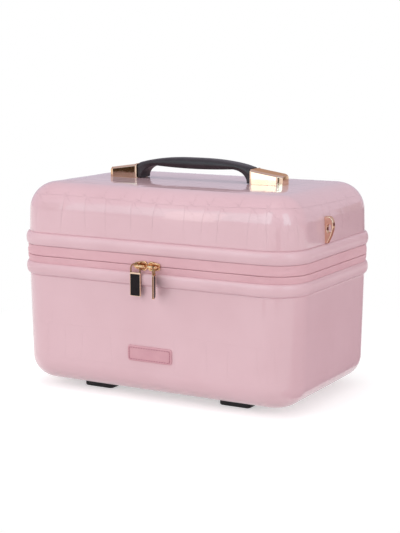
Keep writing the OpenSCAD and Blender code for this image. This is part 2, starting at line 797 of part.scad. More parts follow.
module slider(x) color(GOLD) placed() union() {
    translate([x, -case_d / 2 - front_in, zip_z]) rotate([90, 0, 0]) linear_extrude(slider_t)
        polygon(round_rect(slider_l, slider_h, slider_r, round_steps));
    translate([x, -case_d / 2 - rear_in + slider_rear_t, zip_z]) rotate([90, 0, 0])
        linear_extrude(slider_rear_t)
        polygon(round_rect(slider_l - 2 * rear_in_x, slider_h, slider_r, round_steps));
    translate([x - slider_l / 2 + neck_in_x, -case_d / 2 - front_in - slider_t / 2,
        zip_z - neck_t / 2])
        cube([slider_l - 2 * neck_in_x, front_in - rear_in + slider_t / 2 + slider_rear_t / 2, neck_t]);
    for (s = [-1, 1]) front_rod(x + s * post_in, front_in + slider_t / 2, zip_z, post_r,
        bridge_out + bridge_r + link_clear - front_in - slider_t / 2);
    translate([x - post_in, -case_d / 2 - bridge_out, zip_z]) rotate([0, 90, 0])
        cylinder(r = bridge_r, h = 2 * post_in, $fn = 32);
}

module slider_left() slider(slider_left_x);
module slider_right() slider(slider_right_x);

// Pulls: a U-shaped shackle on a flat tag with an inlay in each face
module shackle_legs(length) for (s = [-1, 1]) translate([s * arch_r, 0, -leg_l - leg_in])
    cylinder(r = shackle_r, h = length, $fn = 24);

module shackle() color(GOLD) union() {
    rotate([90, 0, 0]) rotate_extrude(angle = 180, $fn = 48) translate([arch_r, 0])
        circle(r = shackle_r, $fn = 24);
    shackle_legs(leg_l + leg_in);
}

// A flat sheet in the tag's plane, with this much metal left beside, below and above it
module tag_sheet(rim, head, t) rotate([90, 0, 0]) linear_extrude(t, center = true)
    translate([0, -leg_l - (tag_h + head - rim) / 2])
    polygon(round_rect(tag_w - 2 * rim, tag_h - head - rim, tag_r, round_steps));

module tag() color(GOLD) difference() {
    tag_sheet(0, 0, tag_t);
    difference() {
        tag_sheet(tag_rim, tag_head, tag_t + past);
        tag_sheet(0, 0, tag_t - 2 * inlay_t);
    }
    shackle_legs(leg_in);
}

module inlays() color(BLACK) difference() {
    tag_sheet(tag_rim, tag_head, tag_t);
    tag_sheet(0, 0, tag_t - 2 * inlay_t);
}

module at_pull_left() placed() translate([pull_left_x, -case_d / 2 - tag_out, pull_left_z]) children();
module at_pull_right() placed() translate([pull_right_x, -case_d / 2 - tag_right_out, pull_right_z])
    rotate([0, 0, tag_turn - 90]) children();

module pull_left_shackle() at_pull_left() shackle();
module pull_left_tag() at_pull_left() tag();
module pull_left_inlays() at_pull_left() inlays();
module pull_right_shackle() at_pull_right() shackle();
module pull_right_tag() at_pull_right() tag();
module pull_right_inlays() at_pull_right() inlays();

base_shell();
base_piping();
base_zip_tape();
base_zip_coil();
base_rim_band();
base_lining();
base_board();
hinge_web_lower();
foot_front_left();
foot_front_right();
foot_rear_left();
foot_rear_right();
foot_screws();
front_plate();
front_plate_nuts();
lid_shell();
lid_piping();
lid_zip_tape();
lid_zip_coil();
lid_rim_band();
lid_lining();
pocket_net();
pocket_binding();
hinge_web_upper();
handle_cap_left();
handle_cap_right();
handle_backing_left();
handle_backing_right();
handle_screws();
handle_springs();
strap_lug_left();
strap_lug_right();
lug_backing_left();
lug_backing_right();
lug_screws();
handle_grip();
handle_core();
slider_left();
slider_right();
pull_left_shackle();
pull_left_tag();
pull_left_inlays();
pull_right_shackle();
pull_right_tag();
pull_right_inlays();
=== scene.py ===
"""Looks of the beauty case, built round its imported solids: skin, piping, zip, fittings, handle, lining."""

import math

import bmesh
import bpy
import numpy as np
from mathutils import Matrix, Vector


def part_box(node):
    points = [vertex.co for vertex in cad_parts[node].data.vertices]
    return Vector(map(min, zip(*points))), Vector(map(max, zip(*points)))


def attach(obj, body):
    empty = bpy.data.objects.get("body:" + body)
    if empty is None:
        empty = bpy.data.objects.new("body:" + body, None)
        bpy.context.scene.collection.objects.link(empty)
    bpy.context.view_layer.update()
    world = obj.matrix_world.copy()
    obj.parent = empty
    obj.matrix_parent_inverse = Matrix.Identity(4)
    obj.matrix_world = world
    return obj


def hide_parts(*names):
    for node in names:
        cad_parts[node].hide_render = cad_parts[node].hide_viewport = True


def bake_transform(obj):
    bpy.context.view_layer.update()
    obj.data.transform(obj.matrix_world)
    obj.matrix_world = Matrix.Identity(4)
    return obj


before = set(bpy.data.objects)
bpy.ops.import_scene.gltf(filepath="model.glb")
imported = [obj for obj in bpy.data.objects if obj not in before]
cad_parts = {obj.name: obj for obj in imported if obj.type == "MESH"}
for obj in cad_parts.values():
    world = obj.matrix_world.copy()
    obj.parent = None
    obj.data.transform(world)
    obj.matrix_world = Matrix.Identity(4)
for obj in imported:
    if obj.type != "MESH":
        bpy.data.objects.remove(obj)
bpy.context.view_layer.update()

MM = 0.001
WHITE = (1, 1, 1, 1)
QUARTER = math.pi / 2
SIDES = (("right", 1), ("left", -1))
CORNERS = ((1, 1), (-1, 1), (-1, -1), (1, -1))
scene = bpy.context.scene

# Sizes from the frame


def low(node):
    return np.array(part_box(node)[0])


def high(node):
    return np.array(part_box(node)[1])


def size(node):
    return high(node) - low(node)


def middle(node):
    return (low(node) + high(node)) / 2


case_w, case_d = size("base_shell")[:2]
case_y = middle("base_shell")[1]
floor_z, base_rim = low("base_shell")[2], high("base_shell")[2]
lid_rim, lid_top = low("lid_shell")[2], high("lid_shell")[2]
band_bottom, band_top = low("base_piping")[2], high("lid_piping")[2]
zip_z = (high("base_zip_tape")[2] + low("lid_zip_tape")[2]) / 2
tape_out = high("base_zip_tape")[0] - case_w / 2

# Sizes of the solids that their boxes don't show
corner_r = 37 * MM
lid_edge_r = 31 * MM
base_edge_r = 27 * MM
base_draft = math.radians(1.09)
lid_draft = math.radians(2.06)
lid_crown = 1.1 * MM
crown_run = 24 * MM
shell_t = 2 * MM
piping_out = 3.6 * MM
tape_t = 2.65 * MM
coil_t = 1.3 * MM
lining_t = 2.4 * MM
lug_room = 2.75 * MM
floor_gap = 2.8 * MM
ceiling_gap = 4.4 * MM

lid_edge_z = lid_top - lid_crown - lid_edge_r
base_edge_z = floor_z + base_edge_r
# Offset at which a ring round the case has closed to a line
MIDDLE = -case_d / 2 + 1e-6


def base_out(z):
    """Offset of the base's wall from its place at the rim."""
    return -math.tan(base_draft) * (base_rim - z)


def lid_out(z):
    """Offset of the lid's wall from its place at the rim."""
    return -math.tan(lid_draft) * (z - lid_rim)


# Meshes


def grid_faces(rows, columns, loop_rows=False, loop_columns=True):
    """Quads of a grid of points, joined round in one or both directions."""
    r, c = np.meshgrid(
        np.arange(rows if loop_rows else rows - 1),
        np.arange(columns if loop_columns else columns - 1),
        indexing="ij",
    )
    r, c = r.ravel(), c.ravel()
    r2, c2 = (r + 1) % rows, (c + 1) % columns
    return np.column_stack([r * columns + c, r * columns + c2, r2 * columns + c2, r2 * columns + c]).tolist()


def grid(rings, loop_rows=False):
    """Points and faces of a row of rings."""
    points = np.asarray(rings)
    return points.reshape(-1, 3), grid_faces(*points.shape[:2], loop_rows)


def closed(rings):
    """A grid with a flat face over either end."""
    points, faces = grid(rings)
    columns = len(rings[0])
    faces.append(list(range(columns)))
    faces.append([len(points) - columns + i for i in range(columns)])
    return points, faces


def joined(*parts):
    """Several meshes as one."""
    points, faces, start = [], [], 0
    for p, f in parts:
        points.append(np.asarray(p))
        faces += [[i + start for i in face] for face in f]
        start += len(p)
    return np.concatenate(points), faces


def grid_normals(points, row=0, outward=1, loop_rows=False):
    """Unit normals of rings round the case, away from it at this row, or into it if outward is -1."""
    across = np.roll(points, -1, axis=1) - np.roll(points, 1, axis=1)
    if loop_rows:
        along = np.roll(points, -1, axis=0) - np.roll(points, 1, axis=0)
    else:
        along = np.gradient(points, axis=0)
    normals = np.cross(across, along)
    normals /= np.maximum(np.linalg.norm(normals, axis=2, keepdims=True), 1e-12)
    facing = (normals[row, :, :2] * (points[row, :, :2] - [0, case_y])).sum()
    return normals if facing * outward > 0 else -normals


FINISHES = {}


def piece(
    name, shape, body, look, stands_for=(), sharp=40, weld=False, facets=False, grooves=None
):
    """A new mesh with its finish, riding on a body in place of CAD nodes. facets keeps flat faces flat."""
    points, faces = shape
    mesh = bpy.data.meshes.new(name)
    mesh.from_pydata(np.asarray(points).tolist(), [], faces)
    if grooves is not None:
        mesh.attributes.new("groove", "FLOAT", "POINT").data.foreach_set("value", grooves.ravel())
    made = bmesh.new()
    made.from_mesh(mesh)
    if weld:
        bmesh.ops.remove_doubles(made, verts=made.verts, dist=1e-7)
    bmesh.ops.recalc_face_normals(made, faces=made.faces)
    made.to_mesh(mesh)
    made.free()
    mesh.shade_smooth()
    mesh.set_sharp_from_angle(angle=math.radians(sharp))
    mesh.materials.append(FINISHES[look])
    obj = bpy.data.objects.new(name, mesh)
    scene.collection.objects.link(obj)
    if body:
        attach(obj, body)
    if stands_for:
        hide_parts(*stands_for)
    if facets:
        obj.modifiers.new("flat_faces", "WEIGHTED_NORMAL").keep_sharp = True
    return obj


def round_rect(width, depth, radius, counts):
    """Points round a rectangle with round corners. counts: steps of a corner, a long side, a short side."""
    bend, along, across = counts
    centres = [(sx * (width / 2 - radius), sy * (depth / 2 - radius)) for sx, sy in CORNERS]
    points = []
    for q in range(4):
        turns = [QUARTER * (q + i / bend) for i in range(bend + 1)]
        *corner, out = [radius * np.array([math.cos(a), math.sin(a)]) for a in turns]
        points += [centres[q] + reach for reach in corner]
        start, end = centres[q] + out, centres[(q + 1) % 4] + out
        steps = across if q % 2 else along
        points += [start + (end - start) * i / steps for i in range(steps)]
    return np.array(points)


def level_ring(flat, z, centre=(0, 0)):
    """An outline laid level at this height."""
    return np.column_stack([flat + np.asarray(centre), np.full(len(flat), z)])


def front_ring(flat, y, centre=(0, 0)):
    """An outline that stands square to Y, with its centre at this X and Z."""
    return np.column_stack([flat[:, 0] + centre[0], np.full(len(flat), y), flat[:, 1] + centre[1]])


def side_ring(flat, x, centre=(0, 0)):
    """An outline that stands square to X, with its centre at this Y and Z."""
    return np.column_stack([np.full(len(flat), x), flat[:, 0] + centre[0], flat[:, 1] + centre[1]])


def case_ring(out, z, counts):
    """One ring round the case, this far out of its walls."""
    width, depth = case_w + 2 * out, case_d + 2 * out
    radius = min(max(corner_r + out, 2 * MM), depth / 2 - 1e-6)
    return level_ring(round_rect(width, depth, radius, counts), z, (0, case_y))


def case_rings(profile, counts):
    return np.array([case_ring(out, z, counts) for out, z in profile])


def ring_length(out):
    return 4 * (case_w / 2 - corner_r + case_d / 2 - corner_r) + 2 * math.pi * (corner_r + out)


def walk(out, count, shift=0):
    """Evenly spaced points along a ring round the case, and their outward directions."""
    w, d, r = case_w / 2 - corner_r, case_d / 2 - corner_r, corner_r + out
    quarter = QUARTER * r
    ends = np.cumsum([quarter, 2 * w, quarter, 2 * d] * 2)
    points, normals = [], []
    for place in (np.arange(count) + shift) * ring_length(out) / count % ends[-1]:
        k = int(np.searchsorted(ends, place, side="right"))
        t = place - (ends[k - 1] if k else 0)
        q, on_side = k // 2, k % 2
        a = QUARTER * (q + (1 if on_side else t / quarter))
        direction = np.array([math.cos(a), math.sin(a)])
        ahead = np.array([-direction[1], direction[0]]) * (t if on_side else 0)
        centre = (CORNERS[q][0] * w, CORNERS[q][1] * d + case_y)
        points.append(centre + ahead + r * direction)
        normals.append(direction)
    return np.array(points), np.array(normals)


def ripple(p, wave):
    """Smooth uneven values from -1 to 1 over points, about one wave long."""
    x, y, z = (p[..., i] * (2 * math.pi / wave) for i in range(3))
    return (
        np.sin(x + 1.7 * np.sin(0.63 * y + 0.4) + 0.9 * z)
        + np.sin(0.8 * y - 0.7 * x + 1.3 * np.sin(0.71 * z + 1.1))
        + np.sin(0.9 * z + 0.6 * y - 0.4 * x + 2.1)
    ) / 3


def sweep(path, across, section):
    """A section carried along a path. across is the direction that the section's first number lies along."""
    path = np.asarray(path, float)
    tangent = np.gradient(path, axis=0)
    tangent /= np.linalg.norm(tangent, axis=1, keepdims=True)
    side = np.asarray(across, float) - tangent * (tangent @ np.asarray(across, float))[:, None]
    side /= np.linalg.norm(side, axis=1, keepdims=True)
    up = np.cross(tangent, side)
    section = np.asarray(section, float)
    if section.ndim == 2:
        section = np.repeat(section[None], len(path), axis=0)
    return path[:, None] + section[..., :1] * side[:, None] + section[..., 1:] * up[:, None]


def circle(radius, sides):
    a = np.arange(sides) * 2 * math.pi / sides
    return np.column_stack([radius * np.cos(a), radius * np.sin(a)])


def arc(centre, radius, start, end, steps):
    """Points along an arc in a plane, angles in degrees."""
    a = np.radians(np.linspace(start, end, steps + 1))
    return np.column_stack([centre[0] + radius * np.cos(a), centre[1] + radius * np.sin(a)])


def bezier(start, corner, end, steps):
    """A curve from start to end that turns at the corner."""
    t = np.linspace(0, 1, steps + 1)[:, None]
    return (1 - t) ** 2 * np.asarray(start) + 2 * t * (1 - t) * np.asarray(corner) + t**2 * np.asarray(end)


def rounded(corners, radii, steps):
    """A closed outline with its corners rounded, the same number of points at each corner."""
    corners = np.asarray(corners, float)
    points = []
    for i, c in enumerate(corners):
        before, after = corners[i - 1] - c, corners[(i + 1) % len(corners)] - c
        before /= np.linalg.norm(before)
        after /= np.linalg.norm(after)
        half = math.acos(max(-1, min(1, float(before @ after)))) / 2
        cut = radii[i] / math.tan(half)
        points.append(bezier(c + before * cut, c, c + after * cut, steps))
    return np.concatenate(points)


# Finishes

CREASE_W = 0.4 * MM
CREASE_DEEP = 0.22 * MM
# Spacing of the wave texture's bands at a scale of 1
WAVE_STEP = 0.314


def srgb(r, g, b):
    """A colour written as the eye sees it, 0 to 255, as linear light."""
    linear = [c / 3294.6 if c < 10.31 else ((c / 255 + 0.055) / 1.055) ** 2.4 for c in (r, g, b)]
    return (*linear, 1.0)


def add(tree, kind, *sources, **values):
    """A node, its first inputs linked to sources. values are properties, inputs' values or inputs' links."""
    node = tree.nodes.new(kind)
    for i, source in enumerate(sources):
        tree.links.new(source, node.inputs[i])
    for name, value in values.items():
        socket = name.replace("_", " ")
        if isinstance(value, bpy.types.NodeSocket):
            tree.links.new(value, node.inputs[socket])
        elif hasattr(node, name):
            setattr(node, name, value)
        else:
            node.inputs[socket].default_value = value
    return node


def place_on_piece(tree):
    """A point's place in the row frame, so that a pattern stays on the piece when it moves."""
    return add(tree, "ShaderNodeTexCoord").outputs["Object"]


def noise(tree, scale, detail=3.0):
    pattern = add(tree, "ShaderNodeTexNoise", Vector=place_on_piece(tree), Scale=scale, Detail=detail)
    return pattern.outputs["Fac"]


def weave(tree, pitch):
    """Height of a plain weave of threads this far apart."""
    place = place_on_piece(tree)
    bands = dict(wave_type="BANDS", Scale=WAVE_STEP / pitch, Distortion=0.6)
    waves = [add(tree, "ShaderNodeTexWave", place, bands_direction=axis, **bands) for axis in "XYZ"]
    x, y, z = [wave.outputs["Fac"] for wave in waves]
    both = add(tree, "ShaderNodeMath", x, y, operation="ADD").outputs["Value"]
    return add(tree, "ShaderNodeMath", both, z, operation="ADD").outputs["Value"]


def mottle(tree, shader, first, second, scale):
    """The base colour wanders between two colours."""
    ramp = add(tree, "ShaderNodeValToRGB", noise(tree, scale))
    for element, position, colour in zip(ramp.color_ramp.elements, (0.35, 0.65), (first, second)):
        element.position = position
        element.color = srgb(*colour)
    tree.links.new(ramp.outputs["Color"], shader.inputs["Base Color"])


def uneven_gloss(tree, shader, low_value, high_value, scale):
    """The roughness wanders between two values."""
    spread = add(tree, "ShaderNodeMapRange", noise(tree, scale), To_Min=low_value, To_Max=high_value)
    tree.links.new(spread.outputs["Result"], shader.inputs["Roughness"])


def relief(tree, shader, height, distance):
    bump = add(tree, "ShaderNodeBump", Height=height, Strength=1.0, Distance=distance)
    tree.links.new(bump.outputs["Normal"], shader.inputs["Normal"])
    return bump


def creases(tree, shader, under):
    """The sharp bottoms of the embossed grooves, from each point's distance to the nearest groove."""
    gap = add(tree, "ShaderNodeAttribute", attribute_name="groove").outputs["Fac"]
    away = add(tree, "ShaderNodeMath", gap, operation="ABSOLUTE").outputs["Value"]
    wall = add(tree, "ShaderNodeMapRange", away, interpolation_type="SMOOTHSTEP", From_Max=CREASE_W)
    bump = relief(tree, shader, wall.outputs["Result"], CREASE_DEEP)
    tree.links.new(under.outputs["Normal"], bump.inputs["Normal"])


def finish(name, colours, scale, gloss, gloss_scale, grain=None, cloth=None, **values):
    """A finish whose colour and roughness wander. grain: a noise's scale, detail and depth in millimetres.
    cloth: a weave's pitch and depth in millimetres."""
    material = bpy.data.materials.new(name)
    material.use_nodes = True
    FINISHES[name] = material
    tree = material.node_tree
    shader = tree.nodes["Principled BSDF"]
    for socket, value in values.items():
        shader.inputs[socket.replace("_", " ")].default_value = value
    mottle(tree, shader, *colours, scale)
    uneven_gloss(tree, shader, *gloss, gloss_scale)
    if grain:
        return tree, shader, relief(tree, shader, noise(tree, grain[0], grain[1]), grain[2] * MM)
    if cloth:
        return tree, shader, relief(tree, shader, weave(tree, cloth[0] * MM), cloth[1] * MM)
    return tree, shader, None


def soft_finishes():
    """Coated skins and cloths."""
    coat = dict(Specular_IOR_Level=0.3, Coat_Weight=0.95, Coat_Roughness=0.07, Coat_IOR=1.5)
    pinks = (221, 181, 189), (225, 186, 194)
    creases(*finish("shell", pinks, 14, (0.34, 0.42), 60, grain=(900, 2.0, 0.03), **coat))
    coat = dict(Specular_IOR_Level=0.35, Coat_Weight=0.25, Coat_Roughness=0.2)
    pinks = (221, 182, 190), (225, 187, 195)
    finish("piping", pinks, 20, (0.36, 0.46), 90, grain=(1400, 3.0, 0.04), **coat)
    coat = dict(Specular_IOR_Level=0.3, Coat_Weight=0.05, Coat_Roughness=0.35)
    pinks = (222, 173, 182), (226, 179, 187)
    finish("zip_tape", pinks, 30, (0.45, 0.55), 120, cloth=(0.5, 0.03), **coat)
    finish("zip_coil", ((214, 158, 170), (220, 168, 179)), 200, (0.3, 0.4), 400)
    finish("rim_band", ((82, 76, 80), (92, 86, 90)), 80, (0.5, 0.6), 200)
    sheen = dict(Sheen_Weight=0.25, Sheen_Roughness=0.4)
    pinks = (214, 178, 186), (220, 186, 193)
    finish("lining", pinks, 25, (0.6, 0.72), 300, cloth=(0.7, 0.06), **sheen)
    coat = dict(Coat_Weight=0.2, Coat_Roughness=0.35)
    pinks = (214, 168, 178), (219, 174, 184)
    finish("hinge_web", pinks, 30, (0.45, 0.6), 120, grain=(1600, 4.0, 0.08), **coat)
    finish("net", ((196, 150, 161), (204, 160, 170)), 120, (0.5, 0.65), 300)
    sheen = dict(Sheen_Weight=0.2, Sheen_Roughness=0.4)
    pinks = (206, 160, 171), (213, 169, 179)
    finish("binding", pinks, 60, (0.55, 0.7), 200, cloth=(0.6, 0.06), **sheen)
    coat = dict(Coat_Weight=0.3, Coat_Roughness=0.25)
    pinks = (208, 152, 163), (214, 160, 170)
    finish("plate", pinks, 60, (0.4, 0.5), 300, grain=(1500, 4.0, 0.1), **coat)
    finish("thread", ((170, 104, 119), (180, 114, 128)), 400, (0.4, 0.5), 600)


def hard_finishes():
    """Moulded blacks and metals."""
    blacks = (26, 24, 26), (33, 31, 33)
    finish("foot", blacks, 120, (0.42, 0.55), 300, grain=(2500, 2.0, 0.06), Specular_IOR_Level=0.3)
    coat = dict(Specular_IOR_Level=0.3, Coat_Weight=0.05, Coat_Roughness=0.25)
    finish("grip", ((48, 43, 47), (56, 50, 55)), 90, (0.36, 0.46), 250, grain=(1300, 4.0, 0.09), **coat)
    blacks = (22, 15, 17), (32, 25, 27)
    finish("inlay", blacks, 500, (0.3, 0.45), 800, grain=(1800, 3.0, 0.08), Specular_IOR_Level=0.15)
    finish("steel", ((176, 176, 180), (192, 192, 196)), 60, (0.28, 0.4), 500, Metallic=1.0)
    golds = [
        ("rose_gold", ((238, 205, 178), (243, 212, 188)), 40, (0.05, 0.11), 150, (236, 203, 168)),
        ("slider_gold", ((206, 152, 106), (240, 204, 170)), 420, (0.08, 0.2), 300, (236, 196, 160)),
        ("shackle_gold", ((132, 104, 78), (176, 136, 100)), 300, (0.08, 0.18), 300, (190, 150, 112)),
    ]
    for *looks, tint in golds:
        finish(*looks, Metallic=1.0, Specular_Tint=srgb(*tint))


soft_finishes()
hard_finishes()

# Embossed skin of the shells

SKIN_COUNTS = (38, 176, 94)
INNER_STEPS = 6
SCALE_H = 33 * MM
SCALE_L = 27 * MM
GROOVE_W = 1.1 * MM
GROOVE_DEEP = 0.13 * MM
SWELL = 0.05 * MM
SWELL_W = 6 * MM
# How far the rows of scales wander, and the two waves of that
ROW_WANDER = 1.6 * MM
ROW_WAVES = (41 * MM, 23 * MM)
# How much farther away a groove between rows counts than one between scales
ROW_WEIGHT = 1.15
# The most that a groove between scales leans, and that it bows in millimetres
LEAN = 0.09
BOW = 1.2
# Shares of the embossing's height that are left at the rim and low on the wall
RIM_SHARE = 0.1
LOW_SHARE = 0.3
# Distance from the piping's seam and the depth of the press there
SEAM_PRESS = np.array([(-1.6, 0), (-1, 0.5), (0.1, 0.5), (0.5, 0.3), (1, 0)]) * MM
chance = np.random.default_rng(7)


def scale_edges(length, mean):
    """Places of the grooves along a line of scales of uneven length."""
    steps = chance.uniform(0.55, 1.45, max(2, round(length / mean)))
    return np.concatenate([[0], np.cumsum(steps)]) / steps.sum() * length


def nearest(places, lines):
    """Signed distance from each place to the nearest of its lines."""
    away = places[..., None] - lines
    index = np.argmin(np.abs(away), axis=-1)[..., None]
    return np.take_along_axis(away, index, axis=-1)[..., 0]


def scales(along, across, length, height, first):
    """Rows of uneven scales, the first this high: each point's distance to the nearest groove."""
    rows = np.concatenate([[0], first + scale_edges(height - first, SCALE_H)])
    level = across + ROW_WANDER * np.sin(along / ROW_WAVES[0] + across / ROW_WAVES[1])
    row_gap = ROW_WEIGHT * nearest(level, rows[1:-1])
    row = np.clip(np.searchsorted(rows, level) - 1, 0, len(rows) - 2)
    column_gap = np.full(along.shape, 1.0)
    for k in range(len(rows) - 1):
        edges = scale_edges(length, SCALE_L)
        slants = chance.uniform(-LEAN, LEAN, len(edges))
        bends = chance.uniform(-BOW, BOW, len(edges)) * MM
        slants[-1], bends[-1] = slants[0], bends[0]
        inside = row == k
        up = across[inside] - (rows[k] + rows[k + 1]) / 2
        half = (rows[k + 1] - rows[k]) / 2
        lines = edges + slants * up[:, None] + bends * (1 - (up[:, None] / half) ** 2)
        column_gap[inside] = nearest(along[inside], lines)
    return np.where(np.abs(column_gap) < np.abs(row_gap), column_gap, row_gap)


def embossing(gap):
    """Height of the skin at this distance from a groove."""
    return SWELL * (1 - np.exp(-((gap / SWELL_W) ** 2))) - GROOVE_DEEP * np.exp(-((gap / GROOVE_W) ** 2))


def wall_scales(profile, first):
    """Grooves over the walls: along is measured round the case, across down the wall."""
    flat = case_ring(0, 0, SKIN_COUNTS)[:, :2]
    along = np.cumsum(np.linalg.norm(np.roll(flat, -1, axis=0) - flat, axis=1))
    down = np.concatenate([[0], np.cumsum(np.linalg.norm(np.diff(profile, axis=0), axis=1))])
    across, around = np.meshgrid(down, np.concatenate([[0], along[:-1]]), indexing="ij")
    return scales(around, across, along[-1], down[-1], first)


def flat_scales(rings):
    """Grooves over the top or the floor, in rows from left to right."""
    along, across = rings[..., 0] + case_w / 2, rings[..., 1] - case_y + case_d / 2
    return scales(along, across, case_w, case_d, SCALE_H)


def wall_rows(out, z, end, steps, seam_z, away):
    """Points from the rim along a wall, its outer face drawn in where the piping's seam presses into it."""
    heights = [z + (end[1] - z) * i / steps for i in range(steps)]
    if out == 0:
        heights = sorted(heights + list(seam_z + away * SEAM_PRESS[:, 0]), key=lambda height: away * height)
    slope = (end[0] - out) / (end[1] - z)
    points = []
    for height in heights:
        dip = np.interp(away * (height - seam_z), *SEAM_PRESS.T) if out == 0 else 0
        points.append((out + slope * (height - z) - dip, height))
    return points


def base_edge(inset, start, steps, lift=0.0):
    """Points round the base's bottom edge, this far inside its outer face."""
    centre, radius = base_out(base_edge_z) - base_edge_r, base_edge_r - inset
    angles = np.linspace(start, QUARTER, steps + 1)
    return [(centre + radius * math.cos(a), base_edge_z - (radius - lift) * math.sin(a)) for a in angles]


def lid_edge(inset, start, end, steps, drop=0.0):
    """Points round the lid's top edge, this far inside its outer face."""
    centre, radius = lid_out(lid_edge_z) - lid_edge_r, lid_edge_r - inset
    angles = np.linspace(start, end, steps + 1)
    return [(centre + radius * math.cos(a), lid_edge_z + (radius - drop) * math.sin(a)) for a in angles]


def inward(start, shares):
    """Level points from here in to the middle of the case."""
    return [(start[0] + (MIDDLE - start[0]) * t, start[1]) for t in shares]


def even(steps):
    return np.arange(1, steps + 1) / steps


def base_section(inset, wall_steps, edge_steps, floor_steps):
    """From the rim down the wall, round the bottom edge and in to the middle of the floor."""
    edge = base_edge(inset, base_draft, edge_steps)
    wall = wall_rows(-inset, base_rim, edge[0], wall_steps, band_bottom, -1)
    return wall + edge + inward(edge[-1], even(floor_steps))


def lid_section(inset, wall_steps, edge_steps, crown_steps, top_steps):
    """From the rim up the wall, round the top edge, over the crown and in to the middle of the top."""
    tilt = math.atan(2 * lid_crown / crown_run)
    edge = lid_edge(inset, lid_draft, QUARTER - tilt, edge_steps)
    wall = wall_rows(-inset, lid_rim, edge[0], wall_steps, band_top, 1)
    (start, shoulder), top = edge[-1], lid_top - inset
    crown_end = lid_out(lid_edge_z) - lid_edge_r - crown_run
    crown = [
        (start + (crown_end - start) * t, top - (top - shoulder) * (1 - t) ** 2) for t in even(crown_steps)
    ]
    return wall + edge + crown + inward((crown_end, top), even(top_steps))


def shell(outer_profile, inner_profile, wall_end, bend, depth, first):
    """A moulded shell, open at its rim: plain inside, the embossing faint at the rim and gone in the bend."""
    outer = case_rings(outer_profile, SKIN_COUNTS)
    place = np.arange(len(outer))
    stations = [0, 0.7 * wall_end, wall_end + 4, *bend]
    wall = np.interp(place, stations, [RIM_SHARE, LOW_SHARE, 1, 1, 0]) ** 2
    face = np.clip((place - bend[1]) / 4, 0, 1)
    face[-2:] = 0
    wall, face = wall[:, None], face[:, None]
    wall_gap, face_gap = wall_scales(outer_profile, first), flat_scales(outer)
    height = depth * (embossing(wall_gap) * wall + embossing(face_gap) * face)
    share = np.where(wall > 0, wall, np.maximum(face, 0.01))
    gap = np.where(wall > 0, wall_gap, face_gap) / (depth * share)
    outer = outer + grid_normals(outer) * height[..., None]
    inner = case_rings(inner_profile, SKIN_COUNTS)[::-1]
    grooves = np.concatenate([np.full(inner.shape[:2], 1.0), gap])
    return grid(np.concatenate([inner, outer])), grooves


def make_shells():
    """Both skins. The numbers of each call of shell: the last ring of the wall, the rings where the embossing
    starts to fade and is gone, its share of the full depth, and the height of the first row of scales."""
    profile, inner = base_section(0, 60, 24, 14), base_section(shell_t, 2, INNER_STEPS, 2)
    shape, grooves = shell(profile, inner, 45, (60, 77), 0.12, SCALE_H)
    piece("base_skin", shape, "base", "shell", ["base_shell"], weld=True, grooves=grooves)
    profile, inner = lid_section(0, 30, 28, 14, 22), lid_section(shell_t, 2, INNER_STEPS, 2, 2)
    shape, grooves = shell(profile, inner, 34, (46, 60), 1.0, 57 * MM)
    piece("lid_skin", shape, "lid", "shell", ["lid_shell"], weld=True, grooves=grooves)


make_shells()

# Piping and zip

PIPING_COUNTS = (26, 110, 60)
TAPE_COUNTS = (48, 110, 60)
ZIP_GAP = 0.35 * MM
BEAD_STEPS = 18
TOOTH_PITCH = 1.6 * MM
# Height and length of the piping's slow waves
BEAD_WAVE = (0.07 * MM, 38 * MM)
# Share of the tape's breadth where its pucker lies, how that shifts per degree, and the pucker's width
FOLD_AT, FOLD_SHIFT, FOLD_W = 0.36, 0.006, 0.15
# Share of a tooth's height and its half-width there
TOOTH = [(0, 0.3), (0.08, 0.42), (0.7, 0.42), (0.86, 0.56), (0.96, 0.5), (1.0, 0.2)]
TOOTH_WIDEST = 0.56


def bead(z0, z1, wall):
    """Round piping on the wall between two heights, tucked in at both of its seams."""
    tuck = 0.6 * MM
    profile = []
    for i in range(BEAD_STEPS + 1):
        a = math.pi * i / BEAD_STEPS
        z = z0 + (z1 - z0) * (1 - math.cos(a)) / 2
        profile.append((wall(z) + piping_out * math.sin(a) ** 0.9, z))
    profile += [(wall(z1) - tuck, z1), (wall(z0) - tuck, z0)]
    rings = case_rings(profile, PIPING_COUNTS)
    waves = BEAD_WAVE[0] * ripple(rings, BEAD_WAVE[1])
    waves[-2:] = 0
    normals = grid_normals(rings, BEAD_STEPS // 2, loop_rows=True)
    return grid(rings + normals * waves[..., None], loop_rows=True)


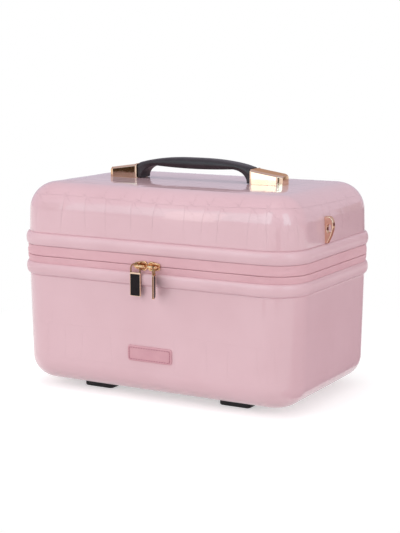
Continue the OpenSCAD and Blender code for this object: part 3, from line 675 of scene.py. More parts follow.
def tape(rim, edge, pleat, lean):
    """A band from the piping to the zip, rounded over at its edge, puckered at the case's corners."""
    down = 1 if rim > edge else -1
    nose = 0.8 * MM
    back = tape_out - tape_t
    run = abs(rim - edge) - nose
    profile = [(back, rim), (tape_out - lean, rim)]
    for t in np.linspace(0, 1, 9)[1:]:
        swell = lean * (t - 1) + 0.16 * MM * math.sin(math.pi * t)
        profile.append((tape_out + swell, rim - down * run * t))
    for a in np.linspace(0, QUARTER, 6)[1:]:
        profile.append((tape_out - nose + nose * math.cos(a), edge + down * nose * (1 - math.sin(a))))
    profile.append((back, edge))
    rings = case_rings(profile, TAPE_COUNTS)
    around = case_ring(tape_out, zip_z, TAPE_COUNTS)[:, :2]
    corners = np.array(CORNERS) * [case_w / 2 - corner_r, case_d / 2 - corner_r] + [0, case_y]
    nearest_corner = np.argmin(((around[:, None] - corners) ** 2).sum(2), axis=1)
    outward = around - corners[nearest_corner]
    turn = np.degrees(np.arctan2(np.abs(outward[:, 1]), np.abs(outward[:, 0]))) - 45
    in_corner = np.linalg.norm(outward, axis=1) < corner_r + 4 * MM
    near = np.where(in_corner, np.exp(-((turn / 30) ** 2)), 0)
    past_fold = np.abs(rings[:, :, 2] - rim) / abs(rim - edge) - (FOLD_AT + FOLD_SHIFT * turn)
    dent = 0.5 * np.exp(-(((past_fold - 2 * FOLD_W) / FOLD_W) ** 2)) - np.exp(-((past_fold / FOLD_W) ** 2))
    depth = pleat * near * dent
    depth[[0, -1]] = 0
    outward = level_ring(outward / np.linalg.norm(outward, axis=1, keepdims=True), 0)
    return grid(rings + outward * depth[..., None], loop_rows=True)


def zip_teeth(edge, root, shift):
    """The turns of a nylon coil, one by one, from their root on the tape to the zip's line."""
    out = tape_out - tape_t - coil_t / 2
    section = circle(1, 6)
    parts = []
    for place, (nx, ny) in zip(*walk(out, round(ring_length(out) / TOOTH_PITCH), shift)):
        turned = [(nx, ny), (-ny, nx)]
        rings = []
        for height, width in TOOTH:
            flat = section * [coil_t / 2 * width / TOOTH_WIDEST, width * MM]
            rings.append(level_ring(flat @ turned, root + (edge - root) * height, place))
        parts.append(closed(rings))
    return joined(*parts)


def make_zip():
    """Both halves of the band. The last numbers are the tape's pleat and lean, and the coil's shift."""
    halves = [
        ("base", base_rim, zip_z - ZIP_GAP / 2, (band_bottom, base_rim, base_out), 0.25, 0.9, 0),
        ("lid", lid_rim, zip_z + ZIP_GAP / 2, (lid_rim, band_top, lid_out), 0.6, 0.3, 0.5),
    ]
    for body, rim, edge, bead_at, pleat, lean, shift in halves:
        coil = body + "_zip_coil"
        root = low(coil)[2] if body == "base" else high(coil)[2]
        piece(body + "_piping_bead", bead(*bead_at), body, "piping", [body + "_piping"])
        piece(body + "_tape", tape(rim, edge, pleat * MM, lean * MM), body, "zip_tape", [body + "_zip_tape"])
        piece(body + "_teeth", zip_teeth(edge, root, shift), body, "zip_coil", [coil])


make_zip()

# Front plate, in place of the badge


def stitches(path, along, outward, length, thick):
    """Short threads at the points of a path, each a little bowed out of the surface."""
    t = np.linspace(-0.5, 0.5, 5)
    rise = thick * (0.9 - 3.2 * t**2)
    section = circle(thick, 6) * np.array([0.4, 0.9, 1, 0.9, 0.4])[:, None, None]
    threads = []
    for point, ahead, up in zip(path, along, outward):
        line = point + ahead * (t * length)[:, None] + up * rise[:, None]
        threads.append(closed(sweep(line, up, section)))
    return threads


def make_plate():
    width, height, thick = size("front_plate")[0], 17 * MM, 1.5 * MM
    x, _, z = middle("front_plate")
    origin = np.array([x, case_y - case_d / 2 - base_out(z), z])
    sine, cosine = math.sin(base_draft), math.cos(base_draft)
    right, up, out = np.array([(1, 0, 0), (0, -sine, cosine), (0, -cosine, -sine)])

    def placed(flat, rise):
        return origin + flat[:, :1] * right + flat[:, 1:] * up + rise * out

    rings = []
    layers = [(0, -0.4), (0, 0.6), (0.1, 1.0), (0.35, 1.3), (0.8, 1.48), (1.6, 1.5), (2.2, 1.4), (2.8, 1.5)]
    for inset, rise in layers:
        radius = max(3.2 - inset, 0.6) * MM
        flat = round_rect(width - 2 * inset * MM, height - 2 * inset * MM, radius, (8, 20, 8))
        rings.append(placed(flat, rise * MM))
    last, face = rings[-1], origin + out * thick
    for share in (0.75, 0.5, 0.25, 0.02):
        rings.append(face + (last - last.mean(0)) * share + out * 0.15 * MM * (1 - share))
    piece("plain_plate", closed(rings), "base", "plate", ["front_plate"])
    line = round_rect(width - 4.4 * MM, height - 4.4 * MM, 1.2 * MM, (1, 15, 4))
    ahead = np.roll(line, -1, axis=0) - line
    step = np.linalg.norm(ahead, axis=1, keepdims=True)
    long_enough = step[:, 0] > 1 * MM
    path = placed(line + ahead / 2, thick - 0.05 * MM)[long_enough]
    along = (placed(ahead / np.maximum(step, 1e-9), 0) - origin)[long_enough]
    threads = stitches(path, along, [out] * len(path), 2.2 * MM, 0.36 * MM)
    piece("plate_stitching", joined(*threads), "base", "thread")


make_plate()

# Feet


def make_feet():
    for node in ("foot_front_left", "foot_front_right", "foot_rear_left", "foot_rear_right"):
        width, depth = size(node)[:2]
        top = high(node)[2]
        profile = [(0, top + 0.3 * MM), (0, top - 0.8 * MM), (0.5 * MM, top - 1.2 * MM)]
        for a in np.linspace(0, QUARTER, 7):
            profile.append((0.5 * MM + 2 * MM * (1 - math.cos(a)), 2 * MM * (1 - math.sin(a))))
        profile += [(6 * MM, 0), (6.6 * MM, 0.7 * MM), (8.5 * MM, 0.7 * MM)]
        rings = []
        for inset, z in profile:
            flat = round_rect(width - 2 * inset, depth - 2 * inset, max(5 * MM - inset, 0.8 * MM), (8, 8, 4))
            rings.append(level_ring(flat, z, middle(node)[:2]))
        piece(node + "_moulded", closed(rings), "base", "foot", [node])


make_feet()

# Handle

cap_in, cap_end = low("handle_cap_right")[0], high("handle_cap_right")[0]
cap_h_in = 16 * MM
cap_h_out = 10.5 * MM
cap_w = 24.5 * MM
cap_chamfer = 5 * MM
cap_bevel = 2.1 * MM
collar_l = 2 * MM
collar_out = 0.4 * MM
CHAMFER_CROWN = 0.1 * MM
grip_w = size("handle_grip")[1] + 0.3 * MM
grip_end = high("handle_grip")[0]
grip_top = high("handle_grip")[2] - lid_top
grip_drop = 7.7 * MM
grip_gap = 14.6 * MM
grip_sag = 1.6 * MM
grip_low = 0.5 * MM
arch_l = 20 * MM
arch_half = grip_end - 3.8 * MM


def both_ends(name, shape, node):
    """A polished fitting on the lid's right end, and its mirror image on the left."""
    points, faces = shape
    for side, sign in SIDES:
        turned = (points * [sign, 1, 1], faces)
        piece(name + side, turned, "lid", "rose_gold", [node + side], sharp=60, facets=True)


def cap_section(half, height, shrink):
    """Section of a cap: a block with a bevel along both top edges, its corners softened."""
    right = [(half - shrink, 0), (half - shrink, height - cap_bevel), (half - cap_bevel, height - shrink)]
    left = [(-y, z) for y, z in right[::-1]]
    return rounded(right + left, [0.25 * MM] + [0.45 * MM] * 4 + [0.25 * MM], 4)


def cap_height(x):
    return cap_h_in + (cap_h_out - cap_h_in) * (x - cap_in) / (cap_end - cap_in)


def make_caps():
    """Sections from the collar to the chamfered end, and in front the mouth that takes the grip."""
    half = cap_w / 2
    stations = []
    for t in np.linspace(0, 1, 9):
        swell = collar_out * math.sin(math.pi * t) ** 0.7
        stations.append((cap_in + collar_l * t, half + swell, cap_h_in + swell, 0.35 * MM if t == 0 else 0))
    slope = cap_in + collar_l + 0.4 * MM
    stations.append((slope - 0.2 * MM, half, cap_height(slope), 0))
    chamfer = cap_end - cap_chamfer
    for x, cut in [
        (slope, 0),
        (chamfer - 0.8 * MM, 0),
        (chamfer - 0.3 * MM, 0.05 * MM),
        (chamfer + 0.3 * MM, 0.35 * MM),
        (chamfer + 0.8 * MM, 0.8 * MM),
        (chamfer + cap_chamfer / 2, cap_chamfer / 2 - CHAMFER_CROWN),
        (cap_end - 0.8 * MM, cap_chamfer - 0.8 * MM),
    ]:
        stations.append((x, half - cut, cap_height(x), 0))
    for before, out, drop, shrink in [(0.25, 0.3, 0.3, 0), (0.05, 0, 0.6, 0.15), (0, 0, 0.6, 0.5)]:
        flank = half - cap_chamfer + out * MM
        stations.append((cap_end - before * MM, flank, cap_height(cap_end) - drop * MM, shrink * MM))
    rings = [side_ring(cap_section(flank, top, shrink), x) for x, flank, top, shrink in stations]
    mouth = np.clip(rings[0], [cap_in, -7.5 * MM, 0.3 * MM], [cap_in, 7.5 * MM, 11 * MM])
    rings = [mouth + [18 * MM, 0, 0], mouth + [0.2 * MM, 0, 0], mouth] + rings
    both_ends("cap_", closed(np.array(rings) + [0, case_y, lid_top]), "handle_cap_")


make_caps()


def grip_lift(x):
    """How far out of an arch's foot a place is: 0 at the foot, 1 past the arch."""
    return max(0.0, min(1.0, (arch_half - abs(x)) / arch_l))


def grip_section(x):
    """Section of the grip: a domed top, a soft crease along each side, and a flank drawn in below it."""
    share = grip_lift(x)
    bow = grip_sag * max(0.0, 1 - (x / (arch_half - arch_l)) ** 2)
    bottom = grip_low - bow + (grip_gap - grip_low) * math.sqrt(1 - (1 - share) ** 2)
    top = grip_top - grip_drop * (abs(x) / cap_in) ** 2.6
    half = grip_w / 2
    crease = bottom + (top - bottom) * (0.42 + 0.18 * (1 - share))
    turn = min(1.6 * MM, (crease - bottom) * 0.45)
    foot = half - 2.6 * MM * share - 0.5 * MM
    step, fall = 0.12 * MM, 0.35 * MM
    right = []
    for a in np.radians(np.linspace(90, 0, 12)[:-1]):
        right.append((half * math.cos(a) ** 0.62, crease + (top - crease) * math.sin(a) ** 0.8))
    right += [(half, crease), (half - step, crease - fall)]
    for t in (0.35, 0.7):
        right.append((half - step + (foot - half) * t, crease - fall + (bottom + turn - crease) * t))
    start, end = (foot + 0.1 * MM, bottom + turn), (foot - turn, bottom)
    right += [tuple(p) for p in bezier(start, (foot, bottom), end, 4)]
    right.append(((foot - turn) / 2, bottom))
    left = [(-y, z) for y, z in right[:0:-1]]
    return np.array(right + [(0, bottom)] + left)


def make_grip():
    straight = np.linspace(0, arch_half - arch_l, 26)[:-1]
    arch = arch_half - arch_l * (1 - np.sin(np.radians(np.linspace(0, 90, 26))))
    foot = np.linspace(arch_half, grip_end, 5)[1:]
    half = np.concatenate([straight, arch, foot])
    rings = np.array([side_ring(grip_section(x), x, (case_y, lid_top)) for x in [*-half[:0:-1], *half]])
    ends = []
    for ring, into in ((rings[0], 1), (rings[-1], -1)):
        for share in (0.06, 0.03):
            end = ring + (ring.mean(0) - ring) * share
            end[:, 0] = ring[0, 0]
            ends.append(end)
        ring[:, 0] += into * 0.4 * MM
    stack = [ends[0], ends[1], *rings, ends[3], ends[2]]
    piece("grip_cover", closed(stack), "handle", "grip", ["handle_grip"], sharp=50)


make_grip()

# Strap lugs


def drawn_in(outline, by):
    """An outline moved inward, apart from its edge on the wall."""
    ahead = np.roll(outline, -1, axis=0) - np.roll(outline, 1, axis=0)
    normal = np.column_stack([ahead[:, 1], -ahead[:, 0]])
    normal /= np.linalg.norm(normal, axis=1, keepdims=True)
    moved = outline - normal * by
    moved[:, 0] = np.where(outline[:, 0] < 1e-6, 0, moved[:, 0])
    return moved


def make_lugs():
    """A plate that swells from the wall, with an eye. belly: share of its height where it is widest."""
    height, reach, belly = 28 * MM, 9.3 * MM, 0.72
    tip, top = 2.4 * MM, 4.8 * MM
    foot_z = band_top + 1 * MM
    foot_x = case_w / 2 + lid_out(foot_z)
    outer = [(0, 0), (tip * 0.5, 0), (tip, 0)]
    outer += [(tip + (reach - tip) * math.sin(QUARTER * t), belly * height * t) for t in even(15)]
    for t in even(8):
        x = reach - (reach - top) * (1 - math.cos(QUARTER * t))
        outer.append((x, height * (belly + (1 - belly) * math.sin(QUARTER * t))))
    outer.append((top * 0.5, height))
    outer = np.array(outer + [(0, height * t) for t in even(13)[::-1]])
    eye_w, eye_h, eye_in = 5 * MM, 9 * MM, 2.2 * MM
    eye_centre = np.array([eye_in + eye_w / 2, belly * height - eye_h / 2])
    from_eye = outer - eye_centre
    angles = np.arctan2(from_eye[:, 1], from_eye[:, 0])
    around = np.column_stack([np.cos(angles), np.sin(angles)])
    squareness = (np.abs(around) ** 3).sum(1, keepdims=True) ** (-1 / 3)
    from_centre = around * [eye_w / 2, eye_h / 2] * squareness
    outward = from_centre / np.linalg.norm(from_centre, axis=1, keepdims=True)

    def eye(by):
        return eye_centre + from_centre + outward * by * 0.7

    half, edge = size("strap_lug_right")[1] / 2, 0.7 * MM
    rounding = []
    for a in np.linspace(0, QUARTER, 5):
        rounding.append((edge * (1 - math.cos(a)), half - edge * (1 - math.sin(a))))
    layers = [(drawn_in(outer, by), -y) for by, y in rounding]
    layers += [(eye(by), -y) for by, y in rounding[::-1]]
    layers += [(eye(by), y) for by, y in rounding]
    layers += [(drawn_in(outer, by), y) for by, y in rounding[::-1]]
    lean = np.array([(1, 0), (-math.tan(lid_draft), 1)])
    lug_y = middle("strap_lug_right")[1]
    rings = [front_ring(outline @ lean, lug_y + y, (foot_x, foot_z)) for outline, y in layers]
    both_ends("lug_", grid(rings, loop_rows=True), "strap_lug_")


make_lugs()

# Sliders and pulls

wall_y = case_y - case_d / 2
slider_l, _, slider_h = size("slider_left")
front_in = 2 * MM
plate_t = 1.6 * MM
rear_in = -2.65 * MM
rear_t = 1.35 * MM
bridge_out = 8.2 * MM
post_in = slider_l / 2 - 1.9 * MM
face_out = front_in + plate_t
# Outlines of a slider's plates: inset and distance out of the wall
FRONT_EDGE = np.array([(0.25, 0), (0, 0.25)]) * MM + [0, front_in]
FRONT_FACE = [(0, 0.55), (0.16, 0.22), (0.5, 0.05), (0.9, 0), (1.25, 0.05), (1.45, 0.3), (1.9, 0.36)]
FRONT_FACE = np.array(FRONT_FACE + [(2.1, 0.5), (2.3, 1.25), (2.6, 1.3)]) * [MM, -MM] + [0, face_out]
REAR_EDGE = np.array([(1, 0), (0.8, -0.2), (0.8, 0.4), (1.1, 0)]) * MM
REAR_EDGE[:, 1] += [rear_in, rear_in, rear_in - rear_t, rear_in - rear_t]


def block(half_w, half_h, radius, steps):
    """Outline of a bar with soft edges."""
    return rounded([(half_w * x, half_h * z) for x, z in CORNERS], [radius] * 4, steps)


def plate_outline(inset, nose):
    """Outline of a slider's plate: wide at the nose that meets the other slider, drawn in at the tail."""
    half_l, half_h = slider_l / 2 - inset, slider_h / 2 - inset
    above = [(1, 0.55), (0.62, 1), (-0.2, 0.86), (-1, 0.62)]
    corners = [(half_l * x, half_h * z) for x, z in above + [(x, -z) for x, z in above[::-1]]]
    radii = np.array([1.4, 1.8, 2, 1.3, 1.3, 2, 1.8, 1.4]) * MM
    return rounded(corners, radii, 4) * [nose, 1]


def bridge_wire(x0):
    """The posts and the bar that the pull hangs on: thick at the foot, a little flat along the bar."""
    bend, post_top = 1.5 * MM, face_out + 0.5 * MM
    climb = (bridge_out - bend - post_top) / 3
    half = [(-post_in, out) for out in (face_out - 1.45 * MM, face_out - 0.1 * MM, post_top)]
    half += [(-post_in, post_top + climb), (-post_in, post_top + 2 * climb)]
    half += list(arc((-post_in + bend, bridge_out - bend), bend, 180, 90, 6))
    half += [(t * (post_in - bend), bridge_out) for t in (-0.6, -0.2)]
    x, out = np.concatenate([half, (np.array(half) * [-1, 1])[::-1]]).T
    width = np.where(out < face_out + 0.2 * MM, 1.45, 1.0)[:, None]
    flat = np.clip((out - 6.2 * MM) / (1.2 * MM), 0, 1)[:, None]
    wire_x, wire_z = circle(MM, 16).T
    section = [wire_x * (width + 0.35 * flat) + 0.25 * MM * flat, wire_z * (width - 0.1 * flat)]
    line = np.column_stack([x0 + x, wall_y - out, np.full(len(x), zip_z)])
    return closed(sweep(line, (0, 0, 1), np.stack(section, axis=-1)))


def make_sliders():
    neck = block(slider_l / 2 - 2 * MM, 0.2 * MM, 0.1 * MM, 2)
    for side, nose in (("left", 1), ("right", -1)):
        node = "slider_" + side
        x0 = middle(node)[0]
        stacks = [
            [(plate_outline(inset, nose), out) for inset, out in layers]
            for layers in (np.concatenate([FRONT_EDGE, FRONT_FACE]), REAR_EDGE)
        ]
        stacks.append([(neck, rear_in - 0.3 * MM), (neck, front_in + 0.3 * MM)])
        parts = [closed([front_ring(flat, wall_y - out, (x0, zip_z)) for flat, out in s]) for s in stacks]
        shape = joined(*parts, bridge_wire(x0))
        body = side + "_slider"
        piece("zip_" + node, shape, body, "slider_gold", [node], sharp=50, facets=True)


make_sliders()

tag_w, tag_t, tag_h = size("pull_left_tag")
tag_rim = 0.6 * MM
tag_head = 1.8 * MM
shackle_r = 0.8 * MM
TAG_COUNTS = (5, 6, 10)
# Outlines of a tag round its inlay and at its rim, in millimetres: inset, depth and corner radius
TAG_WINDOW = [(0, 0.5, 0.4), (0, 0.12, 0.4), (0.08, 0.02, 0.45), (0.16, 0, 0.5)]
TAG_EDGE = [(0.34, 0, 0.6), (0.16, 0.06, 0.7), (0.05, 0.18, 0.8), (0, 0.38, 0.8)]
# Outlines of an inlay, in millimetres: inset in its window, and depth
INLAY_FACE = [(0.04, 0.48), (0.04, 0.2), (0.14, 0.1), (0.4, 0.05), (1.6, 0)]


def make_pull(side, turn):
    """A pull in its own plane, then turned about the vertical and set on its pivot."""
    body = side + "_pull"
    tag = f"pull_{side}_tag"
    tag_top = high(tag)[2]
    origin = middle(tag) * [1, 1, 0]
    c, s = math.cos(turn), math.sin(turn)
    half, head = tag_t / 2, tag_head - tag_rim

    def placed(rings):
        return closed(np.asarray(rings) @ [(c, s, 0), (-s, c, 0), (0, 0, 1)] + origin)

    def ring(inset, y, radius, head=0.0):
        """One outline of the tag, drawn in by inset all round and by head more at its top."""
        flat = round_rect(tag_w - 2 * inset, tag_h - 2 * inset - head, radius * MM, TAG_COUNTS)
        return front_ring(flat, y, (0, middle(tag)[2] - head / 2))

    near = [(tag_rim - inset * MM, half - below * MM, r, head) for inset, below, r in TAG_WINDOW]
    near += [(inset * MM, half - below * MM, r, 0) for inset, below, r in TAG_EDGE]
    rings = [ring(inset, -y, r, h) for inset, y, r, h in near]
    rings += [ring(inset, y, r, h) for inset, y, r, h in near[::-1]]
    piece(f"tag_{side}_frame", placed(rings), body, "rose_gold", [tag], sharp=50, facets=True)

    pads = []
    for face in (-1, 1):
        stack = [ring(tag_rim + inset * MM, face * (half - d * MM), 0.35, head) for inset, d in INLAY_FACE]
        centre = np.array([0, face * half, middle(tag)[2] - head / 2])
        stack += [centre + (stack[-1] - centre) * share for share in (0.6, 0.3, 0.02)]
        pads.append(placed(stack))
    piece(f"tag_{side}_inlays", joined(*pads), body, "inlay", [f"pull_{side}_inlays"])

    arch_r = tag_w / 2 - shackle_r
    arch_z = high(f"pull_{side}_shackle")[2] - tag_w / 2
    leg = np.linspace(tag_top - 0.6 * MM, arch_z, 5)[:-1]
    path = [(arch_r, 0, z) for z in leg]
    path += [(x, 0, z) for x, z in arc((0, arch_z), arch_r, 0, 180, 24)]
    path += [(-arch_r, 0, z) for z in leg[::-1]]
    parts = [placed(sweep(path, (0, 1, 0), circle(shackle_r, 14)))]
    collar = circle(MM, 14) * np.array([1.0, 1.0, 0.97, 0.85])[:, None, None]
    for sign in (1, -1):
        line = [(sign * arch_r, 0, tag_top + k * MM) for k in (-0.2, 0.1, 0.35, 0.55)]
        parts.append(placed(sweep(line, (0, 1, 0), collar)))
    shackle = f"pull_{side}_shackle"
    piece(f"shackle_{side}", joined(*parts), body, "shackle_gold", [shackle])


make_pull("left", 0)
make_pull("right", math.radians(-68))

# Inside

LINING_COUNTS = (22, 84, 46)
STITCH_PITCH = 4.2 * MM
STITCH_L = 2.8 * MM
STITCH_T = 0.28 * MM


def seam_depth(counts):
    """Distance of each column of a ring from the nearest upright seam, where a corner meets a side."""
    bend, along, across = counts
    marks = np.cumsum([0, bend, along, bend, across, bend, along, bend])
    ring = case_ring(0, 0, counts)
    return np.min(np.linalg.norm(ring[:, None] - ring[marks % len(ring)], axis=2), axis=1)


def padded_lining(outer, inner):
    """A foam-backed lining: plain behind, in front swelling between its seams and flat in the middle."""
    back, front = case_rings(outer, LINING_COUNTS), case_rings(inner, LINING_COUNTS)
    gap = seam_depth(LINING_COUNTS)
    swell = 0.5 * MM * (1 - np.exp(-((gap / (14 * MM)) ** 2)))
    swell -= 0.8 * MM * np.exp(-((gap / (1.6 * MM)) ** 2))
    strength = np.ones((len(front), 1))
    strength[:2, 0] = (0, 0.4)
    strength[-3:] = 0
    soft = (swell + 0.12 * MM * ripple(front, 33 * MM)) * strength
    front = front + grid_normals(front, 1, -1) * soft[..., None]
    return grid(np.concatenate([back[::-1], front]))


def rim_binding(rim, into):
    """A folded tape over the edge of the lining and the stiff band, sewn through."""
    outside, inside = -1.25 * MM, -(shell_t + lining_t) - 0.5 * MM
    top, hem = rim - into * 0.9 * MM, rim + into * 6 * MM
    corner = 0.8 * MM
    profile = [(outside, rim), (outside, top + into * 0.3 * MM), (outside - 0.3 * MM, top)]
    for a in np.linspace(0, QUARTER, 5):
        profile.append((inside + corner - corner * math.sin(a), top + into * corner * (1 - math.cos(a))))
    profile += [(inside, hem - into * 0.4 * MM), (inside + 0.4 * MM, hem)]
    profile += [(inside + 0.9 * MM, hem), (inside + 0.9 * MM, rim)]
    places, normals = walk(inside, round(ring_length(inside) / STITCH_PITCH))
    path = level_ring(places, rim + into * 4.2 * MM)
    along = level_ring(normals @ [(0, 1), (-1, 0)], 0)
    threads = stitches(path, along, -level_ring(normals, 0), STITCH_L, STITCH_T)
    return joined(grid(case_rings(profile, LINING_COUNTS), loop_rows=True), *threads)


def base_lining_profiles():
    """The lining's back and front, from the rim to the middle of the floor."""
    front_at = shell_t + lining_t
    back = [(1.2 * MM - front_at, base_rim), (1.2 * MM - front_at, band_bottom)]
    walls = np.linspace(band_bottom, base_edge_z, 4)[:-1]
    back += [(base_out(z) - shell_t - 0.1 * MM, z) for z in walls]
    back += base_edge(shell_t + 0.1 * MM, 0, 6, floor_gap)
    front = [(-front_at, base_rim - 0.2 * MM)]
    front += [(base_out(z) - front_at, z) for z in np.linspace(base_rim, base_edge_z, 22)[1:-1]]
    front += base_edge(front_at, 0, 14, floor_gap)
    return [profile + inward(profile[-1], (0.4, 1)) for profile in (back, front)]


def lid_lining_profiles():
    """The lining's back and front, from the rim to the middle of the ceiling."""
    front_at = shell_t + lining_t + lug_room
    back = [(-shell_t - 1.2 * MM, lid_rim), (lid_out(band_top) - shell_t - 1.2 * MM, band_top)]
    back += lid_edge(shell_t + lug_room, 0, QUARTER, 8, ceiling_gap)
    front = [(1.5 * MM - front_at, lid_rim + 0.2 * MM)]
    front += [(lid_out(z) - front_at, z) for z in np.linspace(lid_rim, lid_edge_z, 10)[1:-1]]
    front += lid_edge(front_at, 0, QUARTER, 14, ceiling_gap)
    return [profile + inward(profile[-1], (0.4, 1)) for profile in (back, front)]


def make_linings():
    halves = [
        ("base", base_lining_profiles(), rim_binding(base_rim, -1)),
        ("lid", lid_lining_profiles(), rim_binding(lid_rim, 1)),
    ]
    for body, profiles, binding in halves:
        padding = padded_lining(*profiles)
        lining = piece(body + "_padding", padding, body, "lining", [body + "_lining"], weld=True)
        piece(body + "_rim_binding", binding, body, "binding")


make_linings()


def make_board():
    """A padded board with a sewn channel round its edge. Insets and heights are in millimetres."""
    width, depth = size("base_board")[:2]
    bottom, top = low("base_board")[2], high("base_board")[2]
    centre = middle("base_board")[:2]
    radius, counts = 13 * MM, (8, 40, 24)
    edge = [(1.2, 0), (0.3, 0.4), (0, 1)]
    face = [(0, -1.2), (0.5, -0.4), (1.4, -0.1), (2.6, -0.7), (3.4, -0.75)]
    face += [(4.4, -0.4), (8, -0.05), (20, 0.25), (45, 0.4)]
    layers = [(inset * MM, bottom + rise * MM) for inset, rise in edge]
    layers += [(inset * MM, top + rise * MM) for inset, rise in face]
    rings = []
    for inset, z in layers:
        flat = round_rect(width - 2 * inset, depth - 2 * inset, max(radius - inset, 2 * MM), counts)
        rings.append(level_ring(flat, z, centre))
    inner_w, inner_d = width - 90 * MM, depth - 90 * MM
    for share in (0.66, 0.33):
        flat = round_rect(inner_w - (1 - share) * inner_d, inner_d * share, 1 * MM, counts)
        rings.append(level_ring(flat, top + 0.45 * MM, centre))
    flat = round_rect(inner_w - inner_d + 0.4 * MM, 0.2 * MM, 0.05 * MM, counts)
    rings.append(level_ring(flat, top + 0.45 * MM, centre))
    line = round_rect(width - 6 * MM, depth - 6 * MM, radius - 3 * MM, (5, 66, 38))
    ahead = np.roll(line, -1, axis=0) - line
    path = level_ring(line + ahead / 2, top - 0.72 * MM, centre)
    along = level_ring(ahead / np.linalg.norm(ahead, axis=1, keepdims=True), 0)
    threads = stitches(path, along, [np.array([0, 0, 1.0])] * len(path), STITCH_L, STITCH_T)
    board = piece("floor_pad", joined(closed(rings), *threads), "base", "lining", ["base_board"])


make_board()

# Net pocket

NET_PITCH = 3.6 * MM
NET_THREAD = 0.55 * MM
NET_SAG = 1.6 * MM
NET_CORNER = 27 * MM
NET_EDGE = 2.5 * MM


def inside_net(x, y):
    """Whether this place is on the net, whose two rear corners are round."""
    x0, y0 = low("pocket_net")[:2] + NET_EDGE
    x1, y1 = high("pocket_net")[:2] - NET_EDGE
    if not (x0 < x < x1 and y0 < y < y1):
        return False
    dx = max(0, abs(x) - (x1 - NET_CORNER))
    dy = max(0, y - (y1 - NET_CORNER))
    return dx * dx + dy * dy < NET_CORNER**2 or dx == 0 or dy == 0


def square(x, y, half):
    return [(x - half, y - half), (x + half, y - half), (x + half, y + half), (x - half, y + half)]


def net_shape():
    """Threads with square holes between them, as a thin mesh that sags to its middle."""
    lo, hi = low("pocket_net"), high("pocket_net")
    width, length = size("pocket_net")[:2]
    level = (lo[2] + hi[2]) / 2
    half_t = 0.22 * MM
    columns, rows = int(width / NET_PITCH), int(length / NET_PITCH)
    corners, faces, index = [], [], {}

    def corner(place, side):
        x, y = place
        key = (round(float(x) * 1e6), round(float(y) * 1e6), side)
        if key not in index:
            index[key] = len(corners)
            sag = NET_SAG * max(0.0, 1 - ((y - lo[1]) / (0.7 * length)) ** 2) * max(0.0, 1 - (x / hi[0]) ** 2)
            corners.append((x, y, level - sag + side * half_t))
        return index[key]

    for i in range(columns):
        for j in range(rows):
            x, y = (i - (columns - 1) / 2) * NET_PITCH, lo[1] + (j + 1) * NET_PITCH
            if not inside_net(x, y):
                continue
            outer, inner = square(x, y, NET_PITCH / 2), square(x, y, (NET_PITCH - NET_THREAD) / 2)
            for k in range(4):
                around = [outer[k], outer[(k + 1) % 4], inner[(k + 1) % 4], inner[k]]
                faces.append([corner(place, 1) for place in around])
                faces.append([corner(place, -1) for place in around[::-1]])
                ends = [(inner[k], 1), (inner[(k + 1) % 4], 1), (inner[(k + 1) % 4], -1), (inner[k], -1)]
                faces.append([corner(place, side) for place, side in ends])
    return np.array(corners), faces


def net_binding_shape():
    """A frilled elastic band along the net's free edge."""
    lo, hi = low("pocket_binding"), high("pocket_binding")
    band_w, thick, length = 9 * MM, hi[2] - lo[2], hi[0] - lo[0] - 1.5 * MM
    y, z = lo[1] + band_w / 2, middle("pocket_net")[2] - 0.2 * MM
    section = block(band_w / 2, thick / 2, 0.8 * MM, 3)
    rings = []
    for x in np.linspace(-length / 2, length / 2, 151):
        frill = 0.35 * MM * math.sin(x / (1.9 * MM))
        sag = NET_SAG * max(0.0, 1 - (x / hi[0]) ** 2)
        rings.append(side_ring(section, x, (y, z + frill - sag)))
    return closed(rings)


def make_net():
    net = piece("net_mesh", net_shape(), "lid", "net", ["pocket_net"], sharp=30)
    binding = piece("net_binding", net_binding_shape(), "lid", "binding", ["pocket_binding"])


make_net()

# Fabric hinge


def make_hinge():
    lo, hi = low("hinge_web_lower"), high("hinge_web_upper")
    outer_y, inner_y = float(hi[1]), lo[1]
    columns, rows = 98, 20
    x, z = np.linspace(lo[0], hi[0], columns + 1), np.linspace(lo[2], hi[2], rows + 1)
    gx, gz = np.meshgrid(x, z, indexing="xy")
    share = (gz - z[0]) / (z[-1] - z[0])
    crease = 0.25 * MM * np.exp(-(((share - 0.5) / 0.08) ** 2))
    wave = 0.05 * MM * ripple(np.stack([gx, gz, gz * 0], axis=-1), 17 * MM)
    front = np.stack([gx, outer_y - 0.05 * MM - crease + wave, gz], axis=-1)
    back = np.stack([gx, np.full_like(gx, inner_y + 0.05 * MM), gz], axis=-1)
    index = np.arange(gx.size).reshape(gx.shape)
    sheet = grid_faces(rows + 1, columns + 1, loop_columns=False)
    faces = sheet + [[i + gx.size for i in face[::-1]] for face in sheet]
    rim = [*index[0, :-1], *index[:-1, -1], *index[-1, :0:-1], *index[:0:-1, 0]]
    for a, b in zip(rim, rim[1:] + rim[:1]):
        faces.append([int(i) for i in (a, b, b + gx.size, a + gx.size)])
    points = np.concatenate([front.reshape(-1, 3), back.reshape(-1, 3)])
    halves = ["hinge_web_lower", "hinge_web_upper"]
    web = piece("hinge_fabric", (points, faces), None, "hinge_web", halves, sharp=60)
    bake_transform(web)


make_hinge()

# Solids that stay as they are

KEPT = {
    "rim_band": ["base_rim_band", "lid_rim_band"],
    "steel": [
        "foot_screws",
        "front_plate_nuts",
        "handle_backing_left",
        "handle_backing_right",
        "handle_screws",
        "handle_springs",
        "handle_core",
        "lug_backing_left",
        "lug_backing_right",
        "lug_screws",
    ],
}
for metal, nodes in KEPT.items():
    for node in nodes:
        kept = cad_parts[node]
        kept.data.materials.clear()
        kept.data.materials.append(FINISHES[metal])

# Camera

